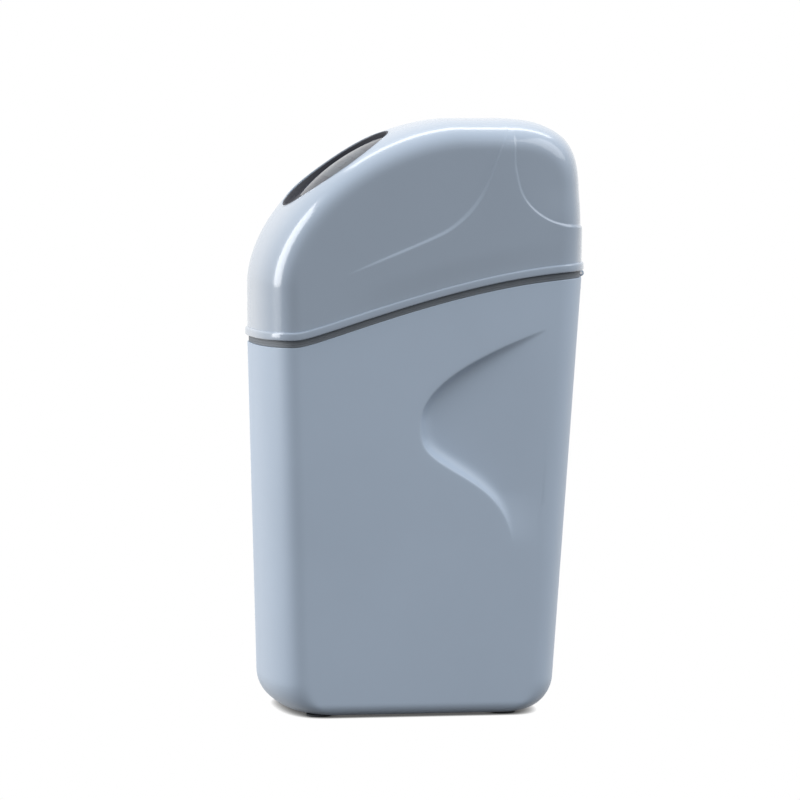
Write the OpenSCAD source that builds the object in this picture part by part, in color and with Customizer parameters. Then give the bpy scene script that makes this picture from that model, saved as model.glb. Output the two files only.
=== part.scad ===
// Cabinet water softener: tub, hinged hood with a round control panel, resin tank, rotary valve.
// Millimetres. Z is up, the front with the panel looks along -Y, and Z = 0 is the floor.

/* [Overall] */
// height from the floor to the crown of the hood
overall_h = 660; // [630:1:690]
// depth over the hood's lip, front to rear
lip_d = 370; // [360:1:390]
// width over the hood's lip
lip_w = 240; // [236:1:256]

/* [Shell] */
// wall of the tub and the hood
wall = 3.5; // [3:0.5:4]
// how far the lip stands out from the hood and the tub
lip_out = 2.5; // [1:0.5:4]
// depth of the rounded front and rear ends
corner_r = 40; // [34:1:46]
// squareness of the rounded ends, 2 is an ellipse
corner_n = 2.5; // [2.2:0.1:3]
// depth of the rounding over the top of the hood
crown_r = 36; // [32:1:42]
// squareness of the rounding over the top
crown_n = 2.6; // [2.4:0.1:2.8]

/* [Seam] */
// height of the underside of the lip at the front
seam_front = 417; // [412:1:422]
// rise of the seam from the front to the rear
seam_rise = 75; // [68:1:80]
// height of the lip
lip_h = 9; // [7:0.5:11]
// height of the soft band between the tub and the lip
band_h = 8; // [6:0.5:9]
// how far the band lies behind the face of the tub
band_in = 1.5; // [1:0.25:2]
// air between the band and the lip
lip_gap = 0.3; // [0.3:0.05:0.5]

/* [Tub] */
// lean of the front face in degrees
front_draft = 1.45; // [1:0.05:2]
// lean of the rear face in degrees
rear_draft = 4.1; // [3.5:0.05:4.4]
// lean of the sides in degrees
side_draft = 0.6; // [0.4:0.05:0.8]
// radius of the front and rear lower edges
toe_r = 36; // [30:1:38]
// radius of the lower edges of the sides
sill_r = 12; // [8:1:14]
// thickness of the floor
floor_t = 3.5; // [3:0.5:4]
// height of the foot pads
foot_h = 2.5; // [2:0.25:4]
// depth of the hand scoop at its front edge
scoop_t = 15; // [9:0.5:16]
// height of the scoop's foremost point
scoop_z = 326; // [318:1:332]

/* [Hood] */
// length of the curved brow, front to crown
brow_l = 222; // [216:1:228]
// height of the brow, crown to the top of the front wall
brow_h = 184; // [179:1:189]
// squareness of the brow along its length, 2 is an ellipse
brow_n = 1.7; // [1.65:0.05:1.85]
// squareness of the brow over its height
brow_m = 1.8; // [1.7:0.05:2]
// height of the rear quarter of the hood
rear_h = 120; // [114:1:126]
// squareness of the rear quarter
rear_n = 4.5; // [3.5:0.1:5.5]

/* [Hinge] */
// radius of the hinge barrel
barrel_r = 3.5; // [3.25:0.25:4]
// radius of the hinge pin
hinge_pin_r = 1.6; // [1.4:0.1:2]
// length of the hood's knuckle
knuckle_l = 24; // [18:1:32]
// length of each of the tub's knuckles
ear_l = 13; // [10:1:18]

/* [Panel] */
// slope of the panel in degrees
panel_tilt = 35.25; // [34.25:0.25:36.25]
// half length of the panel along the slope
panel_v = 71.5; // [68:0.5:74]
// half width of the panel
panel_u = 83; // [79:1:85]
// distance of the panel's middle behind the hood's front
panel_y = 97.4; // [95.9:0.5:98.9]
// drop of the panel's middle below the crown
panel_drop = 60.2; // [58.7:0.5:61.7]
// half length of the window
window_v = 57; // [52:1:58]
// half width of the window
window_u = 72; // [66:1:73]
// height of the window pane over the panel's face
glass_rise = 3.6; // [0:0.2:4]
// radius of a key
key_r = 3.8; // [3.4:0.2:4]
// travel of a key
key_travel = 1; // [0.6:0.1:1.2]

/* [Tank] */
// radius of the resin tank
tank_r = 92; // [88:0.5:92.5]
// height of the resin tank without its neck
tank_h = 392; // [384:1:396]
// distance of the tank's axis in front of the lip's rear edge
tank_back = 134; // [132:0.5:136]
// wall of the resin tank
tank_wall = 3; // [2:0.5:4]
// outer radius of the riser tube
riser_r = 13.35; // [12:0.05:14]

/* [Valve] */
// height of the water ports over the tank's top
port_rise = 36; // [34:1:37]
// half of the distance between the two ports
port_x = 36; // [34:0.5:38]
// bore of a connection socket, minor radius of a three quarter inch female thread
socket_r = 12.1; // [12:0.05:12.3]
// wall of a connection socket
socket_t = 5; // [4:0.25:5.5]
// depth of a connection socket's bore
socket_l = 16; // [12:0.5:17]
// radius of the valve's trunk
trunk_r = 36; // [34:0.5:38]
// radius of the discs
disc_r = 26; // [24:0.5:27]
// module of the drive gears
gear_m = 1.25; // [1.2:0.05:1.3]
// bore of the drain and overflow sockets for half inch tube
spigot_r = 6.4; // [6:0.05:7]
// height of the drain line over the tank's top
drain_rise = 58; // [57:0.5:60]
// height of the valve body over the tank's top
valve_h = 96; // [95:0.5:98]
// height of the valve's bonnet
bonnet_h = 24; // [23:0.5:26]

/* [Brine] */
// radius of the brine well
well_r = 32; // [28:0.5:34]
// height of the brine well's top
well_top = 372; // [360:1:380]
// radius of the brine tube, three eighths inch
tube_r = 4.76; // [4:0.02:5]
// travel of the float
float_travel = 90; // [40:1:100]
// height of the overflow
overflow_z = 330; // [320:1:340]
// height of the cable gland
gland_z = 398; // [392:1:404]

/* [Fits] */
// radial air around a turning shaft
run_gap = 0.06; // [0.03:0.01:0.1]
// air around a key and between moving faces
free_gap = 0.3; // [0.3:0.05:0.5]

/* [Hidden] */
round_fn = 64;

hinge_reach = 2 * barrel_r + free_gap + 0.2 - lip_out;
shell_y = -hinge_reach / 2;
front_y = shell_y - lip_d / 2 + lip_out;
rear_y = shell_y + lip_d / 2 - lip_out;
half_w = lip_w / 2 - lip_out;
lip_rear = shell_y + lip_d / 2;
seam_rear = seam_front + seam_rise;
rim_front = seam_front - band_h;
rim_rear = seam_rear - band_h;
floor_z = foot_h + floor_t;
crown_y = front_y + brow_l;
brow_z = overall_h - brow_h;
quarter_z = overall_h - rear_h;
hinge_y = rear_y + free_gap + 0.2 + barrel_r;
hinge_z = seam_rear - 2 - barrel_r;
panel_at = [0, front_y + panel_y, overall_h - panel_drop];
tank_y = lip_rear - tank_back;
tank_z = floor_z + 6;
tank_top = tank_z + tank_h;
port_z = tank_top + port_rise;
drain_z = tank_top + drain_rise;
well_x = -54;
well_y = front_y + 71;
key_pitch = 2 * key_r + 5;
key_v = 14.5 - panel_v;
main_teeth = 48;
pinion_teeth = 16;
gear_gap = gear_m * (main_teeth + pinion_teeth) / 2;
flange_z = tank_top + valve_h;
bonnet_top = flange_z + bonnet_h;
gear_z = bonnet_top + 6;
gear_t = 8;
plate_z = gear_z + 2 * gear_t;
motor_y = tank_y - gear_gap;
bypass_y = tank_y + 81;
post_r = 43;

// gap of the soft band to the rim it lies on
band_seat = 0.1;

// sides of the superellipse arc at angle a
function pow_s(a, n) = sign(sin(a)) * pow(abs(sin(a)), 2 / n);
function pow_c(a, n) = pow(max(cos(a), 0), 2 / n);
function mix(a, b, t) = a + (b - a) * t;
function unit(t) = min(1, max(0, t));
function ease(t) = unit(t) * unit(t) * (3 - 2 * unit(t));

// height of the underside of the lip at depth y
seam_y0 = front_y + 28;
function seam_t(y) = max(0, (y - seam_y0) / (rear_y - 6 - seam_y0));
function seam_u(y) = (sqrt(pow(seam_t(y), 2) + 0.002) - sqrt(0.002)) / (sqrt(1.002) - sqrt(0.002));
function seam_b(t) = 3 * pow(1 - t, 2) * t * 0.47 + 3 * (1 - t) * t * t * 0.94 + t * t * t;
function seam_z(y) = seam_front + seam_rise * seam_b(unit(seam_u(y)));

// hand scoop in the sides: depth at (y, z), with a wall that slopes in from the edge to the floor
scoop_y = shell_y - 11.5;
scoop_end = shell_y + 132;
scoop_low = scoop_z - 138;
scoop_slope = 1.15;
function scoop_edge(d) = d > 0
    ? d * d / 73
    : 111 * pow(-d / 65, 3.6) / (1 + pow(-d / 65, 3.6));
function scoop_lean(d) = (scoop_edge(d + 1) - scoop_edge(d - 1)) / 2;
function scoop_gap(y, d) = max(0, y - scoop_y - scoop_edge(d)) / sqrt(1 + pow(scoop_lean(d), 2));
function scoop_along(y) = unit((y - scoop_y) / (scoop_end - scoop_y));
function scoop_floor(y, z) = scoop_t
    * max(0.001, pow(1 - pow(scoop_along(y), 2), 1.5) * ease((z - scoop_low) / 60));
function scoop_wall(t) = t < 0.65 ? t : 1 - pow(1.35 - min(t, 1.35), 2) / 1.4;
function scoop_in(y, z) = let (floor_in = scoop_floor(y, z))
    floor_in * scoop_wall(scoop_gap(y, z - scoop_z) * scoop_slope / floor_in);

// rounded lower edges
function toe_in(z, r) = r * (1 - sqrt(1 - pow(unit(1 - (z - foot_h) / r), 2)));
function front_in(z) = max(0, rim_front - z) * tan(front_draft) + toe_in(z, toe_r);
function rear_in(z) = max(0, rim_rear - z) * tan(rear_draft) + toe_in(z, toe_r);
function side_in(z) = max(0, rim_rear - z) * tan(side_draft) + toe_in(z, sill_r);
function rear_at(z) = rear_y - max(0, rim_rear - z) * tan(rear_draft);

// stations round the plan: [kind, value]; 0 front, 1 right, 2 rear, 3 left
function stations(arc, side) = concat(
    [for (i = [0:arc]) [0, -90 + 180 * i / arc]],
    [for (i = [1:side - 1]) [1, i / side]],
    [for (i = [0:arc]) [2, 90 - 180 * i / arc]],
    [for (i = [1:side - 1]) [3, 1 - i / side]]);
function plan_x(st, hw) = st[0] == 1 ? hw : st[0] == 3 ? -hw : hw * pow_s(st[1], corner_n);
function plan_y(st, yf, yr, r) =
    st[0] == 0 ? yf + r * (1 - pow_c(st[1], corner_n)) :
    st[0] == 2 ? yr - r * (1 - pow_c(st[1], corner_n)) :
    mix(yf + r, yr - r, st[1]);
function rim_z(st) = seam_z(plan_y(st, front_y, rear_y, corner_r));

// one point of the tub's wall; w is the inset of the surface
function tub_pt(st, z, w) =
    let (yf = front_y + front_in(z) + w)
    let (yr = rear_y - rear_in(z) - w)
    let (y = plan_y(st, yf, yr, corner_r - w))
    let (x = plan_x(st, half_w - side_in(z) - w))
    let (s = st[0] == 1 ? scoop_in(y, z) : st[0] == 3 ? -scoop_in(y, z) : 0)
    [x - s, y, z];

// triangles between two closed rings of n points that start at a and b
function band_tris(a, b, n) = [for (k = [0:n - 1]) let (m = (k + 1) % n)
    each [[a + k, b + k, b + m], [a + k, b + m, a + m]]];
function rev(f) = [for (t = f) [t[2], t[1], t[0]]];

tub_st = stations(16, 24);
tub_n = len(tub_st);
tub_bevel = [0, 26, 44, 60, 75];
tub_steps = 22;
tub_rise = [for (i = [0:tub_steps]) i / tub_steps];
function tub_level(st, j, z0) = j < len(tub_bevel)
    ? max(z0, foot_h + toe_r * (1 - cos(tub_bevel[j])) + (z0 - foot_h) * (1 - j / len(tub_bevel)))
    : mix(foot_h + toe_r, rim_z(st) - band_h, tub_rise[j - len(tub_bevel)]);
tub_rings = len(tub_bevel) + len(tub_rise);
function tub_grid(z0, w) = [for (j = [0:tub_rings - 1]) for (st = tub_st)
    tub_pt_at(st, tub_level(st, j, z0), w, z0)];
function tub_pt_at(st, z, w, z0) =
    let (p = tub_pt(st, z - (z0 - foot_h) * unit((foot_h + toe_r - z) / toe_r), w))
    [p[0], p[1], z];

// triangles from a middle point c to a closed ring of n points that starts at a
function fan_tris(c, a, n) = [for (k = [0:n - 1]) [c, a + k, a + (k + 1) % n]];

module tub_shell() {
    mid_y = shell_y - 10;
    pts = concat(tub_grid(foot_h, 0), tub_grid(floor_z, wall),
        [[0, mid_y, foot_h], [0, mid_y, floor_z]]);
    total = tub_rings * tub_n;
    outer = [for (j = [0:tub_rings - 2]) each band_tris(j * tub_n, (j + 1) * tub_n, tub_n)];
    inner = [for (j = [0:tub_rings - 2])
        each rev(band_tris(total + j * tub_n, total + (j + 1) * tub_n, tub_n))];
    rim = band_tris((tub_rings - 1) * tub_n, total + (tub_rings - 1) * tub_n, tub_n);
    bottom = fan_tris(2 * total, 0, tub_n);
    top = rev(fan_tris(2 * total + 1, total, tub_n));
    polyhedron(points = pts, faces = concat(outer, inner, rim, bottom, top));
}

// a place on the rear wall, with +Z along the wall's outward normal
module on_rear(z) {
    translate([0, rear_at(z), z]) rotate([-90 - rear_draft, 0, 0]) children();
}

// holes for the water sockets and the drain, through whatever wall stands there
module rear_holes() {
    for (s = [-1, 1]) translate([s * port_x, rear_y - 30, port_z]) rotate([-90, 0, 0])
        cylinder(r = socket_r + socket_t + 1.5, h = 60, $fn = round_fn);
    translate([0, rear_y - 30, drain_z]) rotate([-90, 0, 0])
        cylinder(r = spigot_r + 4.5, h = 60, $fn = round_fn);
}

module cabinet() {
    color([0.62, 0.68, 0.75]) difference() {
        union() {
            tub_shell();
            for (s = [-1, 1]) translate([s * (knuckle_l + ear_l) / 2, 0, 0]) ear();
        }
        translate([0, hinge_y, hinge_z]) rotate([0, 90, 0])
            cylinder(r = hinge_pin_r, h = 200, center = true, $fn = round_fn);
        rear_holes();
        on_rear(overflow_z) translate([0, 0, -20]) cylinder(r = spigot_r + 2.6, h = 40, $fn = round_fn);
        on_rear(gland_z) translate([0, 0, -20]) cylinder(r = 7, h = 40, $fn = round_fn);
    }
}

// one of the tub's hinge knuckles, with its web down the rear wall
module ear() {
    translate([0, hinge_y, hinge_z]) rotate([0, 90, 0])
        cylinder(r = barrel_r, h = ear_l - 2 * free_gap, center = true, $fn = round_fn);
    translate([-ear_l / 2 + free_gap, rear_y - wall + 0.5, hinge_z - 18])
        cube([ear_l - 2 * free_gap, hinge_y - rear_y + wall - 0.5, 15.5]);
}

module foot_pads() {
    color([0.3, 0.31, 0.33]) for (x = [-1, 1]) for (y = [front_y + 62, rear_y - 96])
        translate([x * (half_w - 35), y, 0]) cylinder(r = 14, h = foot_h, $fn = round_fn);
}

// one point of the soft band, at inset w on the tub's rim or under the hood's lip
function band_pt(st, w, top) =
    let (p = tub_pt(st, rim_z(st) - band_h, w))
    [p[0], p[1], top ? seam_z(p[1]) - lip_gap : p[2] + band_seat];

module seal_band() {
    n = len(tub_st);
    pts = [for (c = [[band_in, false], [band_in, true], [wall, true], [wall, false]]) for (s = tub_st)
        band_pt(s, c[0], c[1])];
    faces = [for (q = [0:3]) each band_tris(q * n, ((q + 1) % 4) * n, n)];
    color([0.36, 0.38, 0.4]) polyhedron(points = pts, faces = faces);
}

module hinge_pin() {
    color([0.75, 0.76, 0.78]) translate([0, hinge_y, hinge_z]) rotate([0, 90, 0])
        cylinder(r = hinge_pin_r, h = knuckle_l + 2 * ear_l + 2, center = true, $fn = round_fn);
}

// side profile of the hood at s from 0 (front seam) to 1 (rear seam), inset by e
s_brow = 0.1;
s_crown = 0.55;
s_rear = 0.87;
function hood_y(s, e) =
    s <= s_brow ? front_y + e :
    s <= s_crown ? crown_y - (brow_l - e) * pow_c(90 * (s - s_brow) / (s_crown - s_brow), brow_n) :
    s <= s_rear ? crown_y
        + (rear_y - crown_y - e) * pow_s(90 * (s - s_crown) / (s_rear - s_crown), rear_n) :
    rear_y - e;
function hood_z(s, e, y) =
    s <= s_brow ? mix(seam_z(y) + lip_h, brow_z, s / s_brow) :
    s <= s_crown ? brow_z + (brow_h - e) * pow_s(90 * (s - s_brow) / (s_crown - s_brow), brow_m) :
    s <= s_rear ? quarter_z
        + (rear_h - e) * pow_c(90 * (s - s_crown) / (s_rear - s_crown), rear_n) :
    mix(quarter_z, seam_z(y) + lip_h, (s - s_rear) / (1 - s_rear));
// rounding at s: the plan's ends at the seam, the crown's over the top
function over(s) = min(ease(s / 0.3), ease((1 - s) / 0.28));
function round_r(s) = mix(corner_r, crown_r, over(s));
function round_n(s) = mix(corner_n, crown_n, over(s));

hood_s = [0, 0.035, 0.07, 0.1, 0.13, 0.16, 0.19, 0.22, 0.25, 0.28, 0.31, 0.34, 0.37, 0.4, 0.43,
    0.46, 0.49, 0.52, 0.55, 0.59, 0.63, 0.66, 0.69, 0.71, 0.73, 0.75, 0.77, 0.79, 0.81, 0.84,
    0.87, 0.91, 0.955, 1];
hood_a = [0, 14, 26, 37, 48, 58, 67, 75, 83, 90];
hood_b = [0.2, 0.4, 0.6, 0.8, 1];
hood_half = len(hood_a) + len(hood_b) - 1;
hood_m = 2 * hood_half;
hood_last = len(hood_s) - 1;

// one point of the hood; m runs over the rib from the left seam to the right, w is the inset
function hood_pt(i, m, w) =
    let (s = hood_s[i])
    let (j = abs(m - hood_half))
    let (dir = m < hood_half ? -1 : 1)
    let (n = round_n(s))
    let (r = round_r(s))
    let (a = hood_a[min(j, len(hood_a) - 1)])
    let (e = w + (r - w) * (1 - pow_c(a, n)))
    let (y = hood_y(s, e))
    let (z = hood_z(s, e, y))
    let (v = j < len(hood_a) ? 0 : hood_b[j - len(hood_a)])
    let (yb = mix(front_y + corner_r, rear_y - corner_r, s))
    let (drop = w > 0 ? 0 : lip_h)
    let (low = v == 0 && (i == 0 || i == hood_last))
    let (zz = low ? seam_z(y) + drop : z)
    [dir * (half_w - w) * pow_s(a, n), mix(y, yb, v), mix(zz, seam_z(yb) + drop, v)];

// index of that point; the rib's side shrinks to one point in the two end rows
function hood_at(i, m) =
    let (k = i == 0 || i == hood_last ? min(max(m, len(hood_b)), hood_m - len(hood_b)) : m)
    i * (hood_m + 1) + k;
function sound(f) = [for (t = f) if (t[0] != t[1] && t[1] != t[2] && t[2] != t[0]) t];
function hood_tris(first) = sound([for (i = [0:hood_last - 1]) for (m = [0:hood_m - 1])
    let (a = first + hood_at(i, m), b = first + hood_at(i, m + 1))
    let (c = first + hood_at(i + 1, m + 1), d = first + hood_at(i + 1, m))
    each [[a, d, c], [a, c, b]]]);
// the seam's loop as indices of the grid, seen from above counter-clockwise
hood_loop = concat(
    [for (m = [len(hood_b):hood_m - len(hood_b)]) hood_at(0, m)],
    [for (i = [1:hood_last - 1]) hood_at(i, hood_m)],
    [for (m = [len(hood_b):hood_m - len(hood_b)]) hood_at(hood_last, hood_m - m)],
    [for (i = [1:hood_last - 1]) hood_at(hood_last - i, 0)]);
arc_full = concat([for (k = [len(hood_a) - 1:-1:1]) -hood_a[k]], hood_a);
lip_st = concat(
    [for (a = arc_full) [0, a]],
    [for (i = [1:hood_last - 1]) [1, hood_s[i]]],
    [for (k = [len(arc_full) - 1:-1:0]) [2, arc_full[k]]],
    [for (i = [1:hood_last - 1]) [3, hood_s[hood_last - i]]]);
function lip_loop(o, z) = [for (s = lip_st)
    [plan_x(s, half_w + o), plan_y(s, front_y - o, rear_y + o, corner_r + o), rim_z(s) + z]];

module hood_shell() {
    grid_n = (hood_last + 1) * (hood_m + 1);
    loop_n = len(hood_loop);
    outer = [for (i = [0:hood_last]) for (m = [0:hood_m]) hood_pt(i, m, 0)];
    inner = [for (i = [0:hood_last]) for (m = [0:hood_m]) hood_pt(i, m, wall)];
    pts = concat(outer, inner, lip_loop(lip_out, lip_h), lip_loop(lip_out, 0));
    top = 2 * grid_n;
    low = top + loop_n;
    strips = [for (k = [0:loop_n - 1]) let (m = (k + 1) % loop_n) each [
        [top + k, hood_loop[k], hood_loop[m]], [top + k, hood_loop[m], top + m],
        [low + k, top + k, top + m], [low + k, top + m, low + m],
        [grid_n + hood_loop[k], low + k, low + m],
        [grid_n + hood_loop[k], low + m, grid_n + hood_loop[m]]]];
    polyhedron(points = pts,
        faces = concat(hood_tris(0), rev(hood_tris(grid_n)), strips));
}

// the panel's frame: X across, Y up the slope, Z out of the hood
module on_panel() {
    translate(panel_at) rotate([panel_tilt, 0, 0]) children();
}
// oval with half sizes u and v
module oval(u, v) {
    polygon([for (k = [0:63]) [u * cos(k * 360 / 64), v * sin(k * 360 / 64)]]);
}
module oval_slab(u, v, z0, z1) {
    translate([0, 0, z0]) linear_extrude(z1 - z0) oval(u, v);
}

module hood() {
    color([0.6, 0.66, 0.72]) difference() {
        union() {
            hood_shell();
            translate([0, hinge_y, hinge_z]) rotate([0, 90, 0])
                cylinder(r = barrel_r, h = knuckle_l - 2 * free_gap, center = true, $fn = round_fn);
            translate([-knuckle_l / 2 + free_gap, lip_rear - 3, hinge_z])
                cube([knuckle_l - 2 * free_gap, hinge_y - lip_rear + 3 + barrel_r - 0.8,
                    seam_rear + lip_h - 2 - hinge_z]);
        }
        translate([0, hinge_y, hinge_z]) rotate([0, 90, 0])
            cylinder(r = hinge_pin_r + run_gap, h = 200, center = true, $fn = round_fn);
        on_panel() oval_slab(panel_u, panel_v, -60, 60);
        rear_holes();
    }
}

window_at = [0, 7, 0];
sleeve_h = 6.2;
function key_x(i) = (i - 1.5) * key_pitch;

module display_bezel() {
    color([0.16, 0.17, 0.19]) on_panel() difference() {
        union() {
            oval_slab(panel_u, panel_v, -4, 0);
            difference() {
                oval_slab(panel_u, panel_v, 0, sleeve_h);
                oval_slab(panel_u - 2.5, panel_v - 2.5, -1, sleeve_h + 1);
            }
        }
        translate(window_at) oval_slab(window_u, window_v, -5, 1);
        for (i = [0:3]) translate([key_x(i), key_v, -5])
            cylinder(r = key_r + free_gap, h = 6, $fn = round_fn);
    }
}

module display_glass() {
    color([0.5, 0.54, 0.6, 0.6]) on_panel() translate(window_at)
        oval_slab(window_u, window_v, -4, glass_rise);
}

// a key cap with its retaining flange behind the panel
module key_cap(i) {
    color([0.5, 0.54, 0.58]) on_panel() translate([key_x(i), key_v, 0]) {
        translate([0, 0, -6]) cylinder(r = key_r, h = 6.4, $fn = round_fn);
        translate([0, 0, -6.5]) cylinder(r = key_r + 1.5, h = 1.5, $fn = round_fn);
    }
}
module key_set() {
    key_cap(0);
}
module key_down() {
    key_cap(1);
}
module key_up() {
    key_cap(2);
}
module key_regen() {
    key_cap(3);
}

cup_u = panel_u - 4;
cup_v = panel_v - 3;
cup_low = -26;
cup_t = 2.5;
board_z = -14;
module board_posts(r, z0, z1) {
    for (x = [-1, 1]) for (y = [-1, 1]) translate([x * 46, y * 30 + 4, z0])
        cylinder(r = r, h = z1 - z0, $fn = round_fn);
}
module display_board() {
    color([0.12, 0.35, 0.2]) on_panel() {
        difference() {
            translate([-54, -34, board_z]) cube([108, 76, 1.6]);
            board_posts(1.5, board_z - 1, board_z + 3);
        }
        translate([-40, -20, board_z + 1.6]) cube([80, 54, 6]);
    }
}
module display_housing() {
    color([0.24, 0.25, 0.27]) on_panel() difference() {
        union() {
            difference() {
                oval_slab(cup_u, cup_v, cup_low, -4);
                oval_slab(cup_u - cup_t, cup_v - cup_t, cup_low + cup_t, -3);
            }
            board_posts(4, cup_low + 1, board_z);
        }
        board_posts(1.5, cup_low - 1, board_z + 1);
    }
}
module housing_screws() {
    color([0.7, 0.71, 0.73]) on_panel() {
        board_posts(1.5, cup_low, board_z + 1.6);
        board_posts(3.2, cup_low - 2.4, cup_low);
    }
}

// solid of the tank inside a radius and a wall inset
module tank_solid(w) {
    r = tank_r - w;
    translate([0, tank_y, 0]) {
        translate([0, 0, tank_z + tank_r]) sphere(r = r, $fn = round_fn);
        translate([0, 0, tank_top - tank_r]) sphere(r = r, $fn = round_fn);
        translate([0, 0, tank_z + tank_r]) cylinder(r = r, h = tank_h - 2 * tank_r, $fn = round_fn);
    }
}
neck_r = 32;
neck_top = tank_top + 6;
module resin_tank() {
    color([0.2, 0.28, 0.4]) difference() {
        union() {
            tank_solid(0);
            translate([0, tank_y, tank_top - 20]) cylinder(r = neck_r, h = 26, $fn = round_fn);
        }
        tank_solid(tank_wall);
        translate([0, tank_y, tank_top - 40]) cylinder(r = neck_r - 6, h = 60, $fn = round_fn);
    }
}
module tank_boot() {
    color([0.12, 0.12, 0.13]) difference() {
        translate([0, tank_y, 0]) {
            translate([0, 0, floor_z]) cylinder(r = 56, h = 8, $fn = round_fn);
            translate([0, 0, floor_z + 8]) cylinder(r = 72, h = 44, $fn = round_fn);
        }
        tank_solid(0);
    }
}
module resin_bed() {
    color([0.55, 0.35, 0.15]) difference() {
        tank_solid(tank_wall);
        translate([0, tank_y, tank_z + 0.62 * tank_h + 100])
            cube([400, 400, 200], center = true);
        translate([0, tank_y, tank_z]) cylinder(r = riser_r, h = 400, $fn = round_fn);
        translate([0, tank_y, tank_z]) cylinder(r = 22, h = 44, $fn = round_fn);
    }
}
module riser_tube() {
    color([0.85, 0.86, 0.88]) translate([0, tank_y, 0]) difference() {
        translate([0, 0, tank_z + 12]) cylinder(r = riser_r, h = tank_h + 10, $fn = round_fn);
        translate([0, 0, tank_z + 11]) cylinder(r = riser_r - 2.5, h = tank_h + 20, $fn = round_fn);
    }
}
module strainer(z0, z1, r) {
    difference() {
        translate([0, tank_y, z0]) cylinder(r = r, h = z1 - z0, $fn = round_fn);
        translate([0, tank_y, z0 - 1]) cylinder(r = riser_r, h = z1 - z0 + 2, $fn = round_fn);
        for (k = [1:5]) translate([0, tank_y, mix(z0, z1, k / 6)]) difference() {
            cylinder(r = r + 2, h = 1.2, $fn = round_fn);
            translate([0, 0, -1]) cylinder(r = r - 3, h = 4, $fn = round_fn);
        }
    }
}
module lower_strainer() {
    color([0.8, 0.8, 0.82]) strainer(tank_z + tank_wall + 4, tank_z + 44, 22);
}
module upper_strainer() {
    color([0.8, 0.8, 0.82]) strainer(tank_top - 34, neck_top, neck_r - 6);
}

// a round bar along Y at (x, z)
module bar_y(x, z, r, y0, y1) {
    translate([x, y0, z]) rotate([-90, 0, 0]) cylinder(r = r, h = y1 - y0, $fn = round_fn);
}
inj_z = tank_top + 70;
inj_y = tank_y;
module valve_body() {
    color([0.13, 0.14, 0.16]) difference() {
        union() {
            translate([0, tank_y, tank_top - 2]) cylinder(r = 46, h = 20, $fn = round_fn);
            translate([0, tank_y, tank_top]) cylinder(r = trunk_r, h = flange_z - tank_top,
                $fn = round_fn);
            translate([0, tank_y, flange_z - 6]) cylinder(r = 48, h = 6, $fn = round_fn);
            translate([-port_x - 19, tank_y, port_z - 20]) cube([2 * port_x + 38, 48, 40]);
            for (s = [-1, 1]) bar_y(s * port_x, port_z, 17, tank_y + 40, bypass_y - 20);
            bar_y(0, drain_z, 11, tank_y + 10, tank_y + 44);
            translate([-66, inj_y, inj_z]) rotate([0, 90, 0]) cylinder(r = 13, h = 50, $fn = round_fn);
        }
        tank_solid(0);
        translate([0, tank_y, tank_top - 10]) cylinder(r = neck_r, h = 16, $fn = round_fn);
        translate([0, tank_y, tank_top - 10]) cylinder(r = riser_r, h = 70, $fn = round_fn);
        translate([0, tank_y, flange_z - 10]) cylinder(r = disc_r, h = 11, $fn = round_fn);
        for (s = [-1, 1]) bar_y(s * port_x, port_z, 11, tank_y + 12, bypass_y);
        bar_y(0, drain_z, spigot_r, tank_y + 20, tank_y + 60);
        bar_y(well_x, inj_z, tube_r + 1.5, tank_y - 20, tank_y);
        bonnet_pattern(2.5, flange_z - 10, flange_z + 1);
    }
}
module bonnet_pattern(r, z0, z1) {
    for (k = [0:5]) translate([0, tank_y, 0]) rotate([0, 0, 60 * k]) translate([41.5, 0, z0])
        cylinder(r = r, h = z1 - z0, $fn = round_fn);
}
// a ceramic disc with three ports
module port_disc(r, z0, z1) {
    translate([0, tank_y, 0]) difference() {
        translate([0, 0, z0]) cylinder(r = r, h = z1 - z0, $fn = round_fn);
        for (k = [0:2]) rotate([0, 0, 120 * k + 90]) translate([15, 0, z0 - 1])
            cylinder(r = 6, h = z1 - z0 + 2, $fn = round_fn);
    }
}
module fixed_disc() {
    color([0.9, 0.9, 0.88]) port_disc(disc_r, flange_z - 10, flange_z);
}
module valve_bonnet() {
    color([0.16, 0.17, 0.19]) difference() {
        translate([0, tank_y, flange_z]) cylinder(r = 48, h = bonnet_top - flange_z, $fn = round_fn);
        translate([0, tank_y, flange_z - 1]) cylinder(r = disc_r + 2, h = 19, $fn = round_fn);
        translate([0, tank_y, flange_z]) cylinder(r = 5 + run_gap, h = 40, $fn = round_fn);
        bonnet_pattern(2.5, flange_z - 1, bonnet_top + 1);
    }
}
module bonnet_screws() {
    color([0.7, 0.71, 0.73]) {
        bonnet_pattern(2.5, flange_z - 6, bonnet_top);
        bonnet_pattern(4, bonnet_top, bonnet_top + 4);
    }
}
module rotor_disc() {
    color([0.86, 0.86, 0.9]) port_disc(disc_r - 0.6, flange_z + free_gap, flange_z + 8);
}
module rotor_spindle() {
    color([0.75, 0.76, 0.78]) translate([0, tank_y, flange_z + 8])
        cylinder(r = 5, h = gear_z + gear_t + 4 - flange_z - 8, $fn = round_fn);
}

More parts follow.
